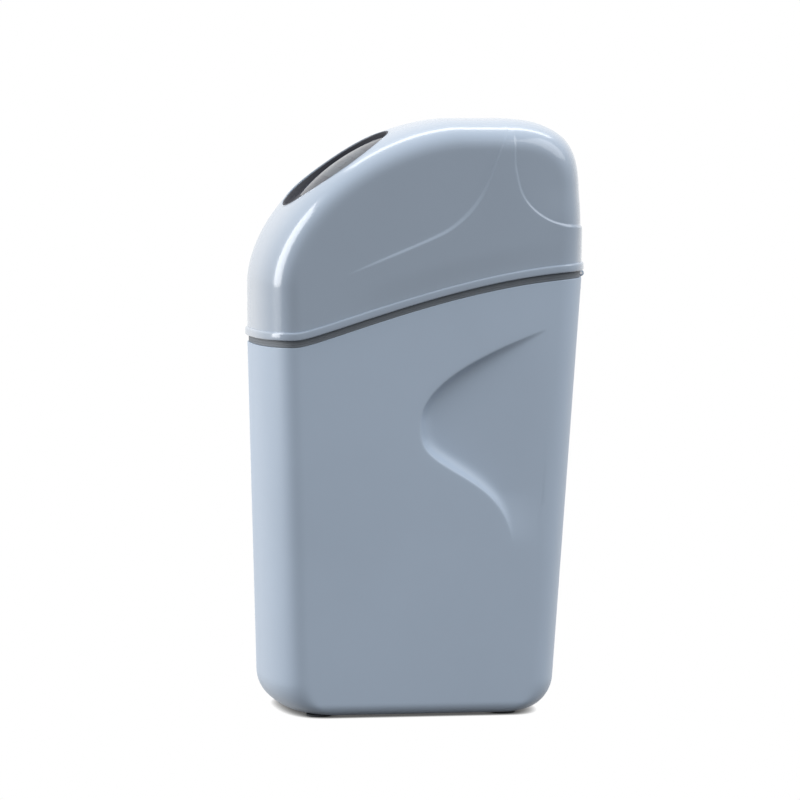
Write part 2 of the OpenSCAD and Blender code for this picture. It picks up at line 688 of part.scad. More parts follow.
// involute spur gear with n teeth, flanks thinned by half the backlash
function inv(a) = tan(a) * 180 / PI - a;
function flank(n, r) =
    let (rp = gear_m * n / 2)
    let (rb = rp * cos(20))
    let (half = 90 / n - 0.16 * 180 / PI / rp)
    half + inv(20) - inv(acos(min(1, rb / r)));
function tooth_r(n) = let (rp = gear_m * n / 2)
    [max(rp * cos(20) + 0.02, rp - 1.1 * gear_m), rp - 0.3 * gear_m, rp + 0.3 * gear_m, rp + 0.85 * gear_m];
module spur(n, bore) {
    root = gear_m * n / 2 - 1.2 * gear_m;
    radii = tooth_r(n);
    linear_extrude(gear_t) difference() {
        polygon([for (t = [0:n - 1]) let (c = 360 * t / n) each concat(
            [[root * cos(c - flank(n, radii[0])), root * sin(c - flank(n, radii[0]))]],
            [for (r = radii) [r * cos(c - flank(n, r)), r * sin(c - flank(n, r))]],
            [for (k = [3:-1:0]) let (r = radii[k]) [r * cos(c + flank(n, r)), r * sin(c + flank(n, r))]],
            [[root * cos(c + flank(n, radii[0])), root * sin(c + flank(n, radii[0]))]])]);
        circle(r = bore, $fn = round_fn);
    }
}
module main_gear() {
    color([0.88, 0.86, 0.78]) translate([0, tank_y, gear_z]) rotate([0, 0, -90]) difference() {
        spur(main_teeth, 5);
        for (k = [0:4]) rotate([0, 0, 72 * k]) translate([17, 0, -1])
            cylinder(r = 6, h = gear_t + 2, $fn = round_fn);
    }
}
module motor_pinion() {
    color([0.88, 0.86, 0.78]) translate([0, motor_y, 0]) {
        translate([0, 0, gear_z]) rotate([0, 0, 90 + 180 / pinion_teeth]) spur(pinion_teeth, 1.5);
        translate([0, 0, gear_z - 2]) cylinder(r = 1.5, h = plate_z + 12 - gear_z, $fn = round_fn);
    }
}
module motor_bracket() {
    color([0.66, 0.67, 0.69]) difference() {
        union() {
            translate([0, tank_y, plate_z]) linear_extrude(3) union() {
                circle(r = 48, $fn = round_fn);
                translate([0, -gear_gap]) circle(r = 21, $fn = round_fn);
            }
            for (a = [30, 150, 210, 330]) translate([0, tank_y, bonnet_top]) rotate([0, 0, a])
                translate([post_r, 0, 0]) cylinder(r = 3.5, h = plate_z + 1 - bonnet_top, $fn = round_fn);
        }
        translate([0, tank_y, plate_z - 1]) cylinder(r = 22, h = 5, $fn = round_fn);
        translate([0, motor_y, plate_z - 1]) cylinder(r = 5, h = 5, $fn = round_fn);
    }
}
module drive_motor() {
    color([0.72, 0.73, 0.75]) translate([0, motor_y, plate_z + 3]) difference() {
        union() {
            cylinder(r = 16, h = 22, $fn = round_fn);
            cylinder(r = 12, h = 36, $fn = round_fn);
        }
        translate([0, 0, -1]) cylinder(r = 1.5 + run_gap, h = 14, $fn = round_fn);
    }
}
module injector_cap() {
    color([0.45, 0.47, 0.5]) translate([-66, inj_y, inj_z]) rotate([0, -90, 0])
        cylinder(r = 15, h = 6, $fn = 6);
}

meter_y = tank_y + 52;
module meter_cage() {
    color([0.85, 0.86, 0.88]) translate([port_x, meter_y, port_z]) rotate([-90, 0, 0]) {
        difference() {
            cylinder(r = 11, h = 3, $fn = round_fn);
            translate([0, 0, -1]) cylinder(r = 9.5, h = 5, $fn = round_fn);
        }
        for (k = [0:2]) rotate([0, 0, 120 * k]) translate([0, -0.8, 0]) cube([10, 1.6, 3]);
        cylinder(r = 1.2, h = 19, $fn = round_fn);
    }
}
module meter_turbine() {
    color([0.2, 0.4, 0.65]) translate([port_x, meter_y + 3.4, port_z]) rotate([-90, 0, 0]) difference() {
        union() {
            cylinder(r = 3, h = 14, $fn = round_fn);
            for (k = [0:5]) rotate([0, 0, 60 * k]) translate([0, -0.6, 1]) cube([9.8, 1.2, 12]);
        }
        translate([0, 0, -1]) cylinder(r = 1.2 + run_gap, h = 16, $fn = round_fn);
    }
}

spindle_r = 6;
module bypass_body() {
    color([0.14, 0.15, 0.17]) difference() {
        union() {
            for (s = [-1, 1]) {
                bar_y(s * port_x, port_z, 17, bypass_y - 20, bypass_y + 20);
                translate([s * port_x, bypass_y, port_z]) cylinder(r = 12, h = 24, $fn = round_fn);
            }
            translate([-port_x, bypass_y, port_z]) rotate([0, 90, 0])
                cylinder(r = 9, h = 2 * port_x, $fn = round_fn);
        }
        for (s = [-1, 1]) {
            bar_y(s * port_x, port_z, 11, bypass_y - 21, bypass_y + 21);
            translate([s * port_x, bypass_y, port_z])
                cylinder(r = spindle_r + run_gap, h = 30, $fn = round_fn);
        }
    }
}
module bypass_knob(s) {
    color([0.2, 0.35, 0.6]) translate([s * port_x, bypass_y, 0]) {
        translate([0, 0, port_z + 12]) cylinder(r = spindle_r, h = 16, $fn = round_fn);
        translate([0, 0, port_z + 26]) cylinder(r = 11, h = 5, $fn = round_fn);
        translate([-4, -17, port_z + 31]) cube([8, 34, 9]);
    }
}
module bypass_knob_in() {
    bypass_knob(-1);
}
module bypass_knob_out() {
    bypass_knob(1);
}

nut_y = bypass_y + 12;
socket_end = rear_at(port_z) - 2;
module union_nuts() {
    color([0.14, 0.15, 0.17]) for (s = [-1, 1]) difference() {
        translate([s * port_x, nut_y, port_z]) rotate([-90, 0, 0]) rotate([0, 0, 30])
            cylinder(r = 22, h = 16, $fn = 6);
        bar_y(s * port_x, port_z, 17, nut_y - 1, bypass_y + 20);
        bar_y(s * port_x, port_z, 15, nut_y - 1, bypass_y + 24);
        bar_y(s * port_x, port_z, 12.4, nut_y - 1, nut_y + 30);
    }
}
// connection socket behind its hole in the rear wall, held in its union nut
module tail(s) {
    color([0.16, 0.17, 0.19]) difference() {
        union() {
            bar_y(s * port_x, port_z, 15, bypass_y + 20, bypass_y + 24);
            bar_y(s * port_x, port_z, 12.4, bypass_y + 20, socket_end);
            bar_y(s * port_x, port_z, socket_r + socket_t, nut_y + 16, socket_end);
        }
        bar_y(s * port_x, port_z, 9.5, bypass_y + 10, socket_end + 1);
        bar_y(s * port_x, port_z, socket_r, socket_end - socket_l, socket_end + 1);
    }
}
module inlet_tail() {
    tail(-1);
}
module outlet_tail() {
    tail(1);
}
drain_end = rear_at(drain_z) - 2;
module drain_spigot() {
    color([0.16, 0.17, 0.19]) difference() {
        union() {
            bar_y(0, drain_z, spigot_r, tank_y + 30, tank_y + 60);
            bar_y(0, drain_z, 5.4, tank_y + 40, drain_end - 20);
            bar_y(0, drain_z, spigot_r + 3, drain_end - 24, drain_end);
        }
        bar_y(0, drain_z, 4, tank_y + 29, drain_end);
        bar_y(0, drain_z, spigot_r, drain_end - 18, drain_end + 1);
    }
}

elbow_y = tank_y - 26;
module brine_elbow() {
    color([0.45, 0.47, 0.5]) difference() {
        union() {
            bar_y(well_x, inj_z, tube_r + 1.5, elbow_y + 6, tank_y - 4);
            bar_y(well_x, inj_z, 9, elbow_y, elbow_y + 12);
        }
        bar_y(well_x, inj_z, tube_r, elbow_y - 1, elbow_y + 10);
        bar_y(well_x, inj_z, tube_r - 1.6, elbow_y - 1, tank_y);
    }
}
bend_r = 26;
cap_top = well_top + 18;
module tube_run(r) {
    translate([well_x, well_y, cap_top - 6])
        cylinder(r = r, h = inj_z - bend_r - cap_top + 6, $fn = round_fn);
    translate([well_x, well_y + bend_r, inj_z - bend_r]) rotate([0, -90, 0])
        rotate([0, 0, 180]) mirror([1, 0, 0])
        rotate_extrude(angle = 90, $fn = round_fn) translate([bend_r, 0]) circle(r = r, $fn = round_fn);
    bar_y(well_x, inj_z, r, well_y + bend_r, elbow_y + 10);
}
module brine_tube() {
    color([0.8, 0.82, 0.85]) difference() {
        tube_run(tube_r);
        tube_run(tube_r - 1.6);
    }
}
module brine_well() {
    color([0.82, 0.84, 0.86]) translate([well_x, well_y, 0]) difference() {
        union() {
            translate([0, 0, floor_z + 24]) cylinder(r = well_r, h = well_top - floor_z - 24,
                $fn = round_fn);
            translate([0, 0, floor_z]) cylinder(r = 18, h = 25, $fn = round_fn);
        }
        translate([0, 0, floor_z + 27]) cylinder(r = well_r - 2, h = 400, $fn = round_fn);
        for (k = [0:3]) rotate([0, 0, 45 + 90 * k]) translate([0, -2, floor_z + 40])
            cube([well_r + 2, 4, 18]);
        translate([0, 0, floor_z - 1]) cylinder(r = 14, h = 40, $fn = round_fn);
    }
}
rod_r = 3;
rod_x = well_x + 14;
guide_y = well_y + 12;
module brine_valve() {
    color([0.2, 0.21, 0.24]) difference() {
        union() {
            translate([well_x, well_y, well_top]) cylinder(r = well_r + 2, h = 5, $fn = round_fn);
            translate([well_x, well_y, well_top - 30]) cylinder(r = 9, h = 48, $fn = round_fn);
            translate([rod_x, guide_y, well_top - 24]) cylinder(r = 7, h = 29, $fn = round_fn);
        }
        translate([well_x, well_y, cap_top - 6]) cylinder(r = tube_r, h = 10, $fn = round_fn);
        translate([well_x, well_y, well_top - 31]) cylinder(r = 3, h = 60, $fn = round_fn);
        translate([rod_x, guide_y, well_top - 40])
            cylinder(r = rod_r + run_gap, h = 60, $fn = round_fn);
    }
}
bob_z = floor_z + 70;
module float_rod() {
    color([0.75, 0.76, 0.78]) translate([rod_x, guide_y, bob_z])
        cylinder(r = rod_r, h = well_top + 12 - bob_z, $fn = round_fn);
}
module float_bob() {
    color([0.85, 0.5, 0.2]) difference() {
        translate([well_x + 4, well_y + 3, bob_z + 6]) cylinder(r = 21, h = 44, $fn = round_fn);
        translate([rod_x, guide_y, bob_z]) cylinder(r = rod_r, h = 80, $fn = round_fn);
    }
}
grid_z = floor_z + 54;
module salt_grid() {
    st = stations(16, 8);
    edge = [for (s = st) let (p = tub_pt(s, grid_z, wall + 3)) [p[0], p[1]]];
    color([0.8, 0.82, 0.84]) {
        translate([0, 0, grid_z]) linear_extrude(4) difference() {
            polygon(edge);
            translate([-200, tank_y - 62]) square([400, 400]);
            translate([0, tank_y]) circle(r = tank_r + 3, $fn = round_fn);
            translate([well_x, well_y]) circle(r = well_r + 1.5, $fn = round_fn);
            for (k = [0:7]) translate([-8 + 12 * k, well_y - 26]) square([5, 44]);
        }
        for (p = [[half_w - 34, front_y + 60], [half_w - 30, front_y + 118], [2, front_y + 56],
            [-half_w + 30, front_y + 118]])
            translate([p[0], p[1], floor_z]) cylinder(r = 4, h = grid_z - floor_z, $fn = round_fn);
    }
}
module overflow_spigot() {
    color([0.16, 0.17, 0.19]) on_rear(overflow_z) difference() {
        union() {
            translate([0, 0, -18]) cylinder(r = spigot_r + 2.6, h = 18, $fn = round_fn);
            cylinder(r = 13, h = 2.5, $fn = round_fn);
        }
        translate([0, 0, -19]) cylinder(r = 4.2, h = 30, $fn = round_fn);
        translate([0, 0, -13]) cylinder(r = spigot_r, h = 30, $fn = round_fn);
    }
}
module overflow_nut() {
    color([0.16, 0.17, 0.19]) on_rear(overflow_z) difference() {
        translate([0, 0, -wall - 6 - free_gap]) cylinder(r = 14, h = 6, $fn = 6);
        translate([0, 0, -20]) cylinder(r = spigot_r + 2.6, h = 30, $fn = round_fn);
    }
}
module cable_gland() {
    color([0.1, 0.1, 0.11]) on_rear(gland_z) difference() {
        union() {
            translate([0, 0, -wall - 2]) cylinder(r = 7, h = wall + 2, $fn = round_fn);
            cylinder(r = 10, h = 2.5, $fn = round_fn);
        }
        translate([0, 0, -20]) cylinder(r = 2.6, h = 40, $fn = round_fn);
    }
}

cabinet();
foot_pads();
seal_band();
hinge_pin();
hood();
display_bezel();
display_glass();
key_set();
key_down();
key_up();
key_regen();
display_board();
display_housing();
housing_screws();
resin_tank();
tank_boot();
resin_bed();
riser_tube();
lower_strainer();
upper_strainer();
valve_body();
fixed_disc();
valve_bonnet();
bonnet_screws();
rotor_disc();
rotor_spindle();
main_gear();
motor_bracket();
drive_motor();
motor_pinion();
injector_cap();
meter_cage();
meter_turbine();
bypass_body();
bypass_knob_in();
bypass_knob_out();
union_nuts();
inlet_tail();
outlet_tail();
drain_spigot();
brine_elbow();
brine_tube();
brine_well();
brine_valve();
float_rod();
float_bob();
salt_grid();
overflow_spigot();
overflow_nut();
cable_gland();
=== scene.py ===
import logging
import math
from collections.abc import Callable, Sequence
from dataclasses import dataclass, field
from enum import Enum

import bpy
import numpy as np
from mathutils import Matrix, Vector


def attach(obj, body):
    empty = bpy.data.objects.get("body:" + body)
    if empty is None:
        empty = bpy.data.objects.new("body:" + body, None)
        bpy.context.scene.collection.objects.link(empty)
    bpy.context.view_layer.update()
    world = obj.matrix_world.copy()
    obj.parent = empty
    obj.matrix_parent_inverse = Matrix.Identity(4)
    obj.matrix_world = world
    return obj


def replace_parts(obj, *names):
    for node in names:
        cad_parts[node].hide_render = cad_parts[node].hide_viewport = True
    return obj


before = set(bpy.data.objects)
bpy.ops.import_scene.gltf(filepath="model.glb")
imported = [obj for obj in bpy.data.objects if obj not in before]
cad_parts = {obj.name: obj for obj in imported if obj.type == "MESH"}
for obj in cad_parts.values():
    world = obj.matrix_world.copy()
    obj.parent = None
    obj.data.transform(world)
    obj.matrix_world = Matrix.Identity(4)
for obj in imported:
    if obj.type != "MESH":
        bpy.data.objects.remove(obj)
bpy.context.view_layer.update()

log = logging.getLogger("softener")
MM = 0.001
SIDES = 4.0
Array = np.ndarray
Colour = tuple[float, float, float]


def srgb(red: int, green: int, blue: int) -> Colour:
    """Turns a display colour into the linear one that shaders take.

    Args:
        red: Red from 0 to 255.
        green: Green from 0 to 255.
        blue: Blue from 0 to 255.

    Returns:
        The linear colour.
    """
    parts = [c / 255.0 for c in (red, green, blue)]
    return tuple(c / 12.92 if c <= 0.04045 else ((c + 0.055) / 1.055) ** 2.4 for c in parts)


def mix(a: Array | float, b: Array | float, t: Array | float) -> Array | float:
    """Goes from a to b as t goes from 0 to 1."""
    return a + (b - a) * t


def ease(t: Array | float) -> Array:
    """Smooth step from 0 to 1."""
    t = np.clip(t, 0.0, 1.0)
    return t * t * (3.0 - 2.0 * t)


def pow_s(angle: Array, n: Array | float) -> Array:
    """Sine side of a superellipse of power n."""
    return np.sign(np.sin(angle)) * np.abs(np.sin(angle)) ** (2.0 / n)


def pow_c(angle: Array, n: Array | float) -> Array:
    """Cosine side of a superellipse of power n."""
    return np.maximum(np.cos(angle), 0.0) ** (2.0 / n)


def fall(angle: float) -> float:
    """Slope of a wall that leans by an angle in degrees."""
    return math.tan(math.radians(angle))


def turns(count: int) -> Array:
    """Angles of count even steps round a circle."""
    return np.linspace(0.0, 2.0 * math.pi, count, endpoint=False)


def nowhere(points: Array) -> Array:
    """False for every point: a lattice that stays plain."""
    return np.zeros(points.shape[:-1], bool)


class Pattern(Enum):
    """How a finish varies over its surface."""

    MOULDED = "moulded"
    BRUSHED = "brushed"
    BEADS = "beads"


@dataclass(frozen=True)
class Finish:
    """A surface: colour, mottling, gloss and grain, all from noise in the object's own space."""

    name: str
    colour: Colour
    rough: float
    pattern: Pattern = Pattern.MOULDED
    mottle: float = 0.04
    mottle_scale: float = 7.0
    grain: float = 0.04
    grain_scale: float = 1100.0
    swing: float = 0.05
    metal: float = 0.0
    coat: float = 0.0
    coat_rough: float = 0.1
    clear: float = 0.0
    ior: float = 1.46

    def build(self) -> bpy.types.Material:
        """Makes the node material, or finds it if it was made before.

        Returns:
            The material.
        """
        found = bpy.data.materials.get(self.name)
        if found:
            return found
        mat = bpy.data.materials.new(self.name)
        mat.use_nodes = True
        tree = mat.node_tree
        shader = tree.nodes["Principled BSDF"]
        shader.inputs["Metallic"].default_value = self.metal
        shader.inputs["IOR"].default_value = self.ior
        shader.inputs["Coat Weight"].default_value = self.coat
        shader.inputs["Coat Roughness"].default_value = self.coat_rough
        shader.inputs["Transmission Weight"].default_value = self.clear
        place = tree.nodes.new("ShaderNodeTexCoord").outputs["Object"]
        cloud = self._noise(tree, place, self.mottle_scale, 3.0)
        fine = self._grain(tree, place)
        self._tint(tree, cloud, shader)
        self._gloss(tree, cloud, fine, shader)
        bump = tree.nodes.new("ShaderNodeBump")
        bump.inputs["Strength"].default_value = self.grain
        bump.inputs["Distance"].default_value = 0.0004
        tree.links.new(fine, bump.inputs["Height"])
        tree.links.new(bump.outputs["Normal"], shader.inputs["Normal"])
        return mat

    def _noise(self, tree: bpy.types.NodeTree, place: bpy.types.NodeSocket, scale: float,
               detail: float) -> bpy.types.NodeSocket:
        """Adds a noise texture.

        Args:
            tree: The material's node tree.
            place: Coordinates to read.
            scale: Noise cells per metre.
            detail: Octaves.

        Returns:
            The noise's value.
        """
        node = tree.nodes.new("ShaderNodeTexNoise")
        node.inputs["Scale"].default_value = scale
        node.inputs["Detail"].default_value = detail
        tree.links.new(place, node.inputs["Vector"])
        return node.outputs["Fac"]

    def _grain(self, tree: bpy.types.NodeTree, place: bpy.types.NodeSocket) -> bpy.types.NodeSocket:
        """Adds the fine relief: mould grain, brush lines or beads.

        Args:
            tree: The material's node tree.
            place: Coordinates to read.

        Returns:
            The relief's height.
        """
        if self.pattern is Pattern.BEADS:
            node = tree.nodes.new("ShaderNodeTexVoronoi")
            node.inputs["Scale"].default_value = self.grain_scale
            tree.links.new(place, node.inputs["Vector"])
            return node.outputs["Distance"]
        if self.pattern is Pattern.BRUSHED:
            turn = tree.nodes.new("ShaderNodeMapping")
            turn.inputs["Scale"].default_value = (1.0, 1.0, 0.04)
            tree.links.new(place, turn.inputs["Vector"])
            place = turn.outputs["Vector"]
        return self._noise(tree, place, self.grain_scale, 2.0)

    def _tint(self, tree: bpy.types.NodeTree, cloud: bpy.types.NodeSocket,
              shader: bpy.types.ShaderNode) -> None:
        """Mottles the colour a little either way.

        Args:
            tree: The material's node tree.
            cloud: Broad noise.
            shader: The surface shader.
        """
        ramp = tree.nodes.new("ShaderNodeValToRGB")
        ramp.color_ramp.elements[0].position = 0.3
        ramp.color_ramp.elements[1].position = 0.7
        for stop, side in zip(ramp.color_ramp.elements, (-1.0, 1.0)):
            stop.color = (*(min(1.0, c * (1.0 + side * self.mottle)) for c in self.colour), 1.0)
        tree.links.new(cloud, ramp.inputs["Fac"])
        tree.links.new(ramp.outputs["Color"], shader.inputs["Base Color"])

    def _gloss(self, tree: bpy.types.NodeTree, cloud: bpy.types.NodeSocket,
               fine: bpy.types.NodeSocket, shader: bpy.types.ShaderNode) -> None:
        """Varies the roughness with both noises.

        Args:
            tree: The material's node tree.
            cloud: Broad noise.
            fine: Fine relief.
            shader: The surface shader.
        """
        both = tree.nodes.new("ShaderNodeMath")
        both.operation = "ADD"
        tree.links.new(cloud, both.inputs[0])
        tree.links.new(fine, both.inputs[1])
        span = tree.nodes.new("ShaderNodeMapRange")
        span.inputs["From Min"].default_value = 0.5
        span.inputs["From Max"].default_value = 1.5
        span.inputs["To Min"].default_value = max(0.02, self.rough - self.swing)
        span.inputs["To Max"].default_value = min(1.0, self.rough + self.swing)
        tree.links.new(both.outputs["Value"], span.inputs["Value"])
        tree.links.new(span.outputs["Result"], shader.inputs["Roughness"])


TUB = Finish("tub_moulding", srgb(176, 190, 207), 0.42, grain=0.05, mottle=0.02)
HOOD = Finish("hood_moulding", srgb(152, 165, 181), 0.24, grain=0.015, mottle=0.02, swing=0.03,
              coat=0.5, coat_rough=0.06)
SEAL = Finish("seal_rubber", srgb(112, 117, 123), 0.62, grain=0.12, grain_scale=700.0)
RUBBER = Finish("foot_compound", srgb(84, 87, 92), 0.75, grain=0.15, grain_scale=600.0)
STEEL = Finish("plain_steel", srgb(186, 188, 192), 0.3, Pattern.BRUSHED, grain=0.1, metal=1.0)
BEZEL = Finish("bezel_satin", srgb(56, 57, 64), 0.55, grain=0.03, ior=1.3)
GLASS = Finish("tinted_pane", srgb(176, 180, 192), 0.05, grain=0.004, swing=0.02, clear=0.95, ior=1.1)
LCD = Finish("lcd_film", srgb(96, 104, 106), 0.4, grain=0.02)
FILM = Finish("print_film", srgb(58, 61, 70), 0.5, grain=0.03)
INK = Finish("lcd_ink", srgb(30, 34, 40), 0.5, grain=0.02)
KEY = Finish("key_caps", srgb(150, 158, 168), 0.38, grain=0.05)
BOARD = Finish("board_mask", srgb(28, 84, 52), 0.4, mottle=0.12, mottle_scale=160.0, grain=0.1)
BLACK = Finish("glass_filled_black", srgb(44, 46, 50), 0.5, mottle=0.1, grain=0.12, grain_scale=800.0)
TANK = Finish("tank_winding", srgb(120, 148, 176), 0.35, Pattern.BRUSHED, mottle=0.08, grain=0.25,
              grain_scale=500.0, coat=0.3)
RESIN = Finish("resin_beads", srgb(176, 112, 48), 0.3, Pattern.BEADS, mottle=0.2, mottle_scale=400.0,
               grain=0.8, grain_scale=900.0)
PALE = Finish("pale_moulding", srgb(214, 218, 222), 0.42, grain=0.05)
CERAMIC = Finish("lapped_ceramic", srgb(232, 230, 222), 0.16, grain=0.02, mottle_scale=300.0)
GEAR = Finish("gear_acetal", srgb(226, 220, 200), 0.38, grain=0.04)
MOTOR = Finish("motor_can", srgb(172, 175, 180), 0.28, Pattern.BRUSHED, grain=0.12, metal=1.0)
BLUE = Finish("knob_blue", srgb(46, 92, 158), 0.36, grain=0.05)
ORANGE = Finish("float_moulding", srgb(226, 120, 48), 0.45, grain=0.06)


class Skin:
    """Points and faces of one piece, in millimetres."""

    def __init__(self) -> None:
        """Starts empty."""
        self.points: Array = np.zeros((0, 3))
        self.faces: list[tuple[int, ...]] = []

    def add(self, points: Array) -> Array:
        """Adds points.

        Args:
            points: Points in any layout, coordinates last.

        Returns:
            Their indices in the same layout.
        """
        flat = np.asarray(points, float).reshape(-1, 3)
        first = len(self.points)
        self.points = np.vstack([self.points, flat])
        return np.arange(first, first + len(flat)).reshape(np.shape(points)[:-1])

    def strip(self, rows: Array, closed: bool = False) -> None:
        """Joins neighbouring rows of indices by quads.

        Args:
            rows: Indices as rows and columns.
            closed: Whether the last column meets the first.
        """
        right = np.roll(rows, -1, axis=1) if closed else rows[:, 1:]
        left = rows if closed else rows[:, :-1]
        quads = np.stack([left[:-1], right[:-1], right[1:], left[1:]], -1).reshape(-1, 4)
        self.faces += [tuple(q) for q in quads.tolist()]

    def loops(self, rings: Sequence[Array]) -> Array:
        """Adds closed rings of equal length and joins each to the next.

        Args:
            rings: The rings' points.

        Returns:
            The rings' indices.
        """
        ids = self.add(np.stack(rings))
        self.strip(ids, closed=True)
        return ids

    def cap(self, ring: Array, flip: bool = False) -> None:
        """Closes a ring of indices with one face."""
        self.faces.append(tuple((ring[::-1] if flip else ring).tolist()))

    def turn_over(self) -> None:
        """Turns every face round, for a piece that is seen from inside."""
        self.faces = [f[::-1] for f in self.faces]

    def refine(self, place: Callable[[Array, Array], Array], u: Array, v: Array,
               fine: Callable[[Array], Array], cuts: int, closed: bool = False) -> None:
        """Lays a lattice over a parametric surface, with smaller quads where they are needed.

        Args:
            place: The surface, from two parameters to a point.
            u: Parameter of the rows.
            v: Parameter of the columns.
            fine: For points, true where the quads are to be split.
            cuts: Pieces along each side of a split quad.
            closed: Whether the last column meets the first.
        """
        cols = len(v)
        grid = np.stack(np.meshgrid(u, v, indexing="ij"), -1)
        ids = self.add(place(grid[..., 0], grid[..., 1]))
        near = fine(self.points[ids])
        wide = np.append(v, v[0] + SIDES) if closed else v
        wrap = np.append(np.arange(cols), 0) if closed else np.arange(cols)
        seen: dict[tuple[int, int], list[int]] = {}
        todo: list[tuple[float, float]] = []
        first = len(self.points)

        def side(a: tuple[int, int], b: tuple[int, int]) -> list[int]:
            """Finds the points between two corners, made once for each side.

            Args:
                a: Row and column of the first corner.
                b: Row and column of the second.

            Returns:
                Their indices from a to b.
            """
            ia, ib = int(ids[a[0], wrap[a[1]]]), int(ids[b[0], wrap[b[1]]])
            key = (min(ia, ib), max(ia, ib))
            if key not in seen:
                new = []
                for k in range(1, cuts):
                    todo.append((mix(u[a[0]], u[b[0]], k / cuts), mix(wide[a[1]], wide[b[1]], k / cuts)))
                    new.append(first + len(todo) - 1)
                seen[key] = new if ia < ib else new[::-1]
            return seen[key] if ia < ib else seen[key][::-1]

        plain = []
        split = np.zeros((len(u) - 1, len(wrap) - 1), bool)
        for i in range(len(u) - 1):
            corner = near[i][wrap] | near[i + 1][wrap]
            split[i] = corner[:-1] | corner[1:]
        for i in range(len(u) - 1):
            for j in np.flatnonzero(split[i]):
                p, q, r, s = (i, j), (i, j + 1), (i + 1, j + 1), (i + 1, j)
                rows = [[ids[p[0], wrap[p[1]]], *side(p, q), ids[q[0], wrap[q[1]]]]]
                left, right = side(p, s), side(q, r)
                for k in range(1, cuts):
                    inner = []
                    for m in range(1, cuts):
                        todo.append((mix(u[i], u[i + 1], k / cuts), mix(wide[j], wide[j + 1], m / cuts)))
                        inner.append(first + len(todo) - 1)
                    rows.append([left[k - 1], *inner, right[k - 1]])
                rows.append([ids[s[0], wrap[s[1]]], *side(s, r), ids[r[0], wrap[r[1]]]])
                self.strip(np.array(rows))
        for i in range(len(u) - 1):
            for j in np.flatnonzero(~split[i]):
                ring = [(i, j), (i, j + 1), (i + 1, j + 1), (i + 1, j)]
                face = []
                for a, b in zip(ring, ring[1:] + ring[:1]):
                    ia, ib = int(ids[a[0], wrap[a[1]]]), int(ids[b[0], wrap[b[1]]])
                    more = seen.get((min(ia, ib), max(ia, ib)), [])
                    face += [ia, *(more if ia < ib else more[::-1])]
                plain.append(tuple(face))
        self.faces += plain
        if todo:
            extra = np.array(todo)
            self.add(place(extra[:, 0], extra[:, 1]))

    def clip(self, keep: Callable[[Array], Array]) -> Array:
        """Cuts away what lies where keep is negative.

        Args:
            keep: For points, a value that is negative in the hole.

        Returns:
            The points made along the cut.
        """
        value = keep(self.points)
        made: dict[tuple[int, int], int] = {}
        fresh: list[Array] = []
        kept: list[tuple[int, ...]] = []
        total = len(self.points)
        for face in self.faces:
            inside = [value[k] < 0.0 for k in face]
            if not any(inside):
                kept.append(face)
            elif not all(inside):
                ring = []
                for a, b in zip(face, face[1:] + face[:1]):
                    if value[a] >= 0.0:
                        ring.append(a)
                    if (value[a] < 0.0) != (value[b] < 0.0):
                        key = (min(a, b), max(a, b))
                        if key not in made:
                            t = value[key[0]] / (value[key[0]] - value[key[1]])
                            fresh.append(mix(self.points[key[0]], self.points[key[1]], t))
                            made[key] = total + len(fresh) - 1
                        ring.append(made[key])
                if len(ring) > 2:
                    kept.append(tuple(ring))
        self.faces = kept
        cut = np.array(fresh).reshape(-1, 3)
        self.add(cut)
        return cut

    def build(self, name: str, finish: Finish, body: str, slot: str, sharp: float = 40.0) -> bpy.types.Object:
        """Makes the Blender object and sets it on its body.

        Args:
            name: Name of the piece.
            finish: Its finish.
            body: The body it moves with.
            slot: The record's material slot; not used.
            sharp: Angle in degrees from which an edge stays sharp.

        Returns:
            The object.
        """
        used = np.unique(np.concatenate([np.array(f) for f in self.faces]))
        place = np.full(len(self.points), -1)
        place[used] = np.arange(len(used))
        faces = [tuple(dict.fromkeys(place[list(f)].tolist())) for f in self.faces]
        mesh = bpy.data.meshes.new(name)
        mesh.from_pydata((self.points[used] * MM).tolist(), [], [f for f in faces if len(f) > 2])
        mesh.validate()
        mesh.shade_smooth()
        mesh.set_sharp_from_angle(angle=math.radians(sharp))
        mesh.materials.append(finish.build())
        piece = bpy.data.objects.new(name, mesh)
        bpy.context.scene.collection.objects.link(piece)
        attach(piece, body)
        log.info("%s: %d faces", name, len(mesh.polygons))
        return piece


def lathe(profile: Sequence[tuple[float, float]], count: int,
          frame_to: Callable[[Array], Array]) -> list[Array]:
    """Rings of a turned piece.

    Args:
        profile: Radius and height of each ring.
        count: Points to a ring.
        frame_to: Takes points of the piece's own frame to the model's.

    Returns:
        One closed ring for each step of the profile.
    """
    angle = turns(count)
    return [frame_to(np.stack([r * np.cos(angle), r * np.sin(angle), np.full(count, h)], -1))
            for r, h in profile]


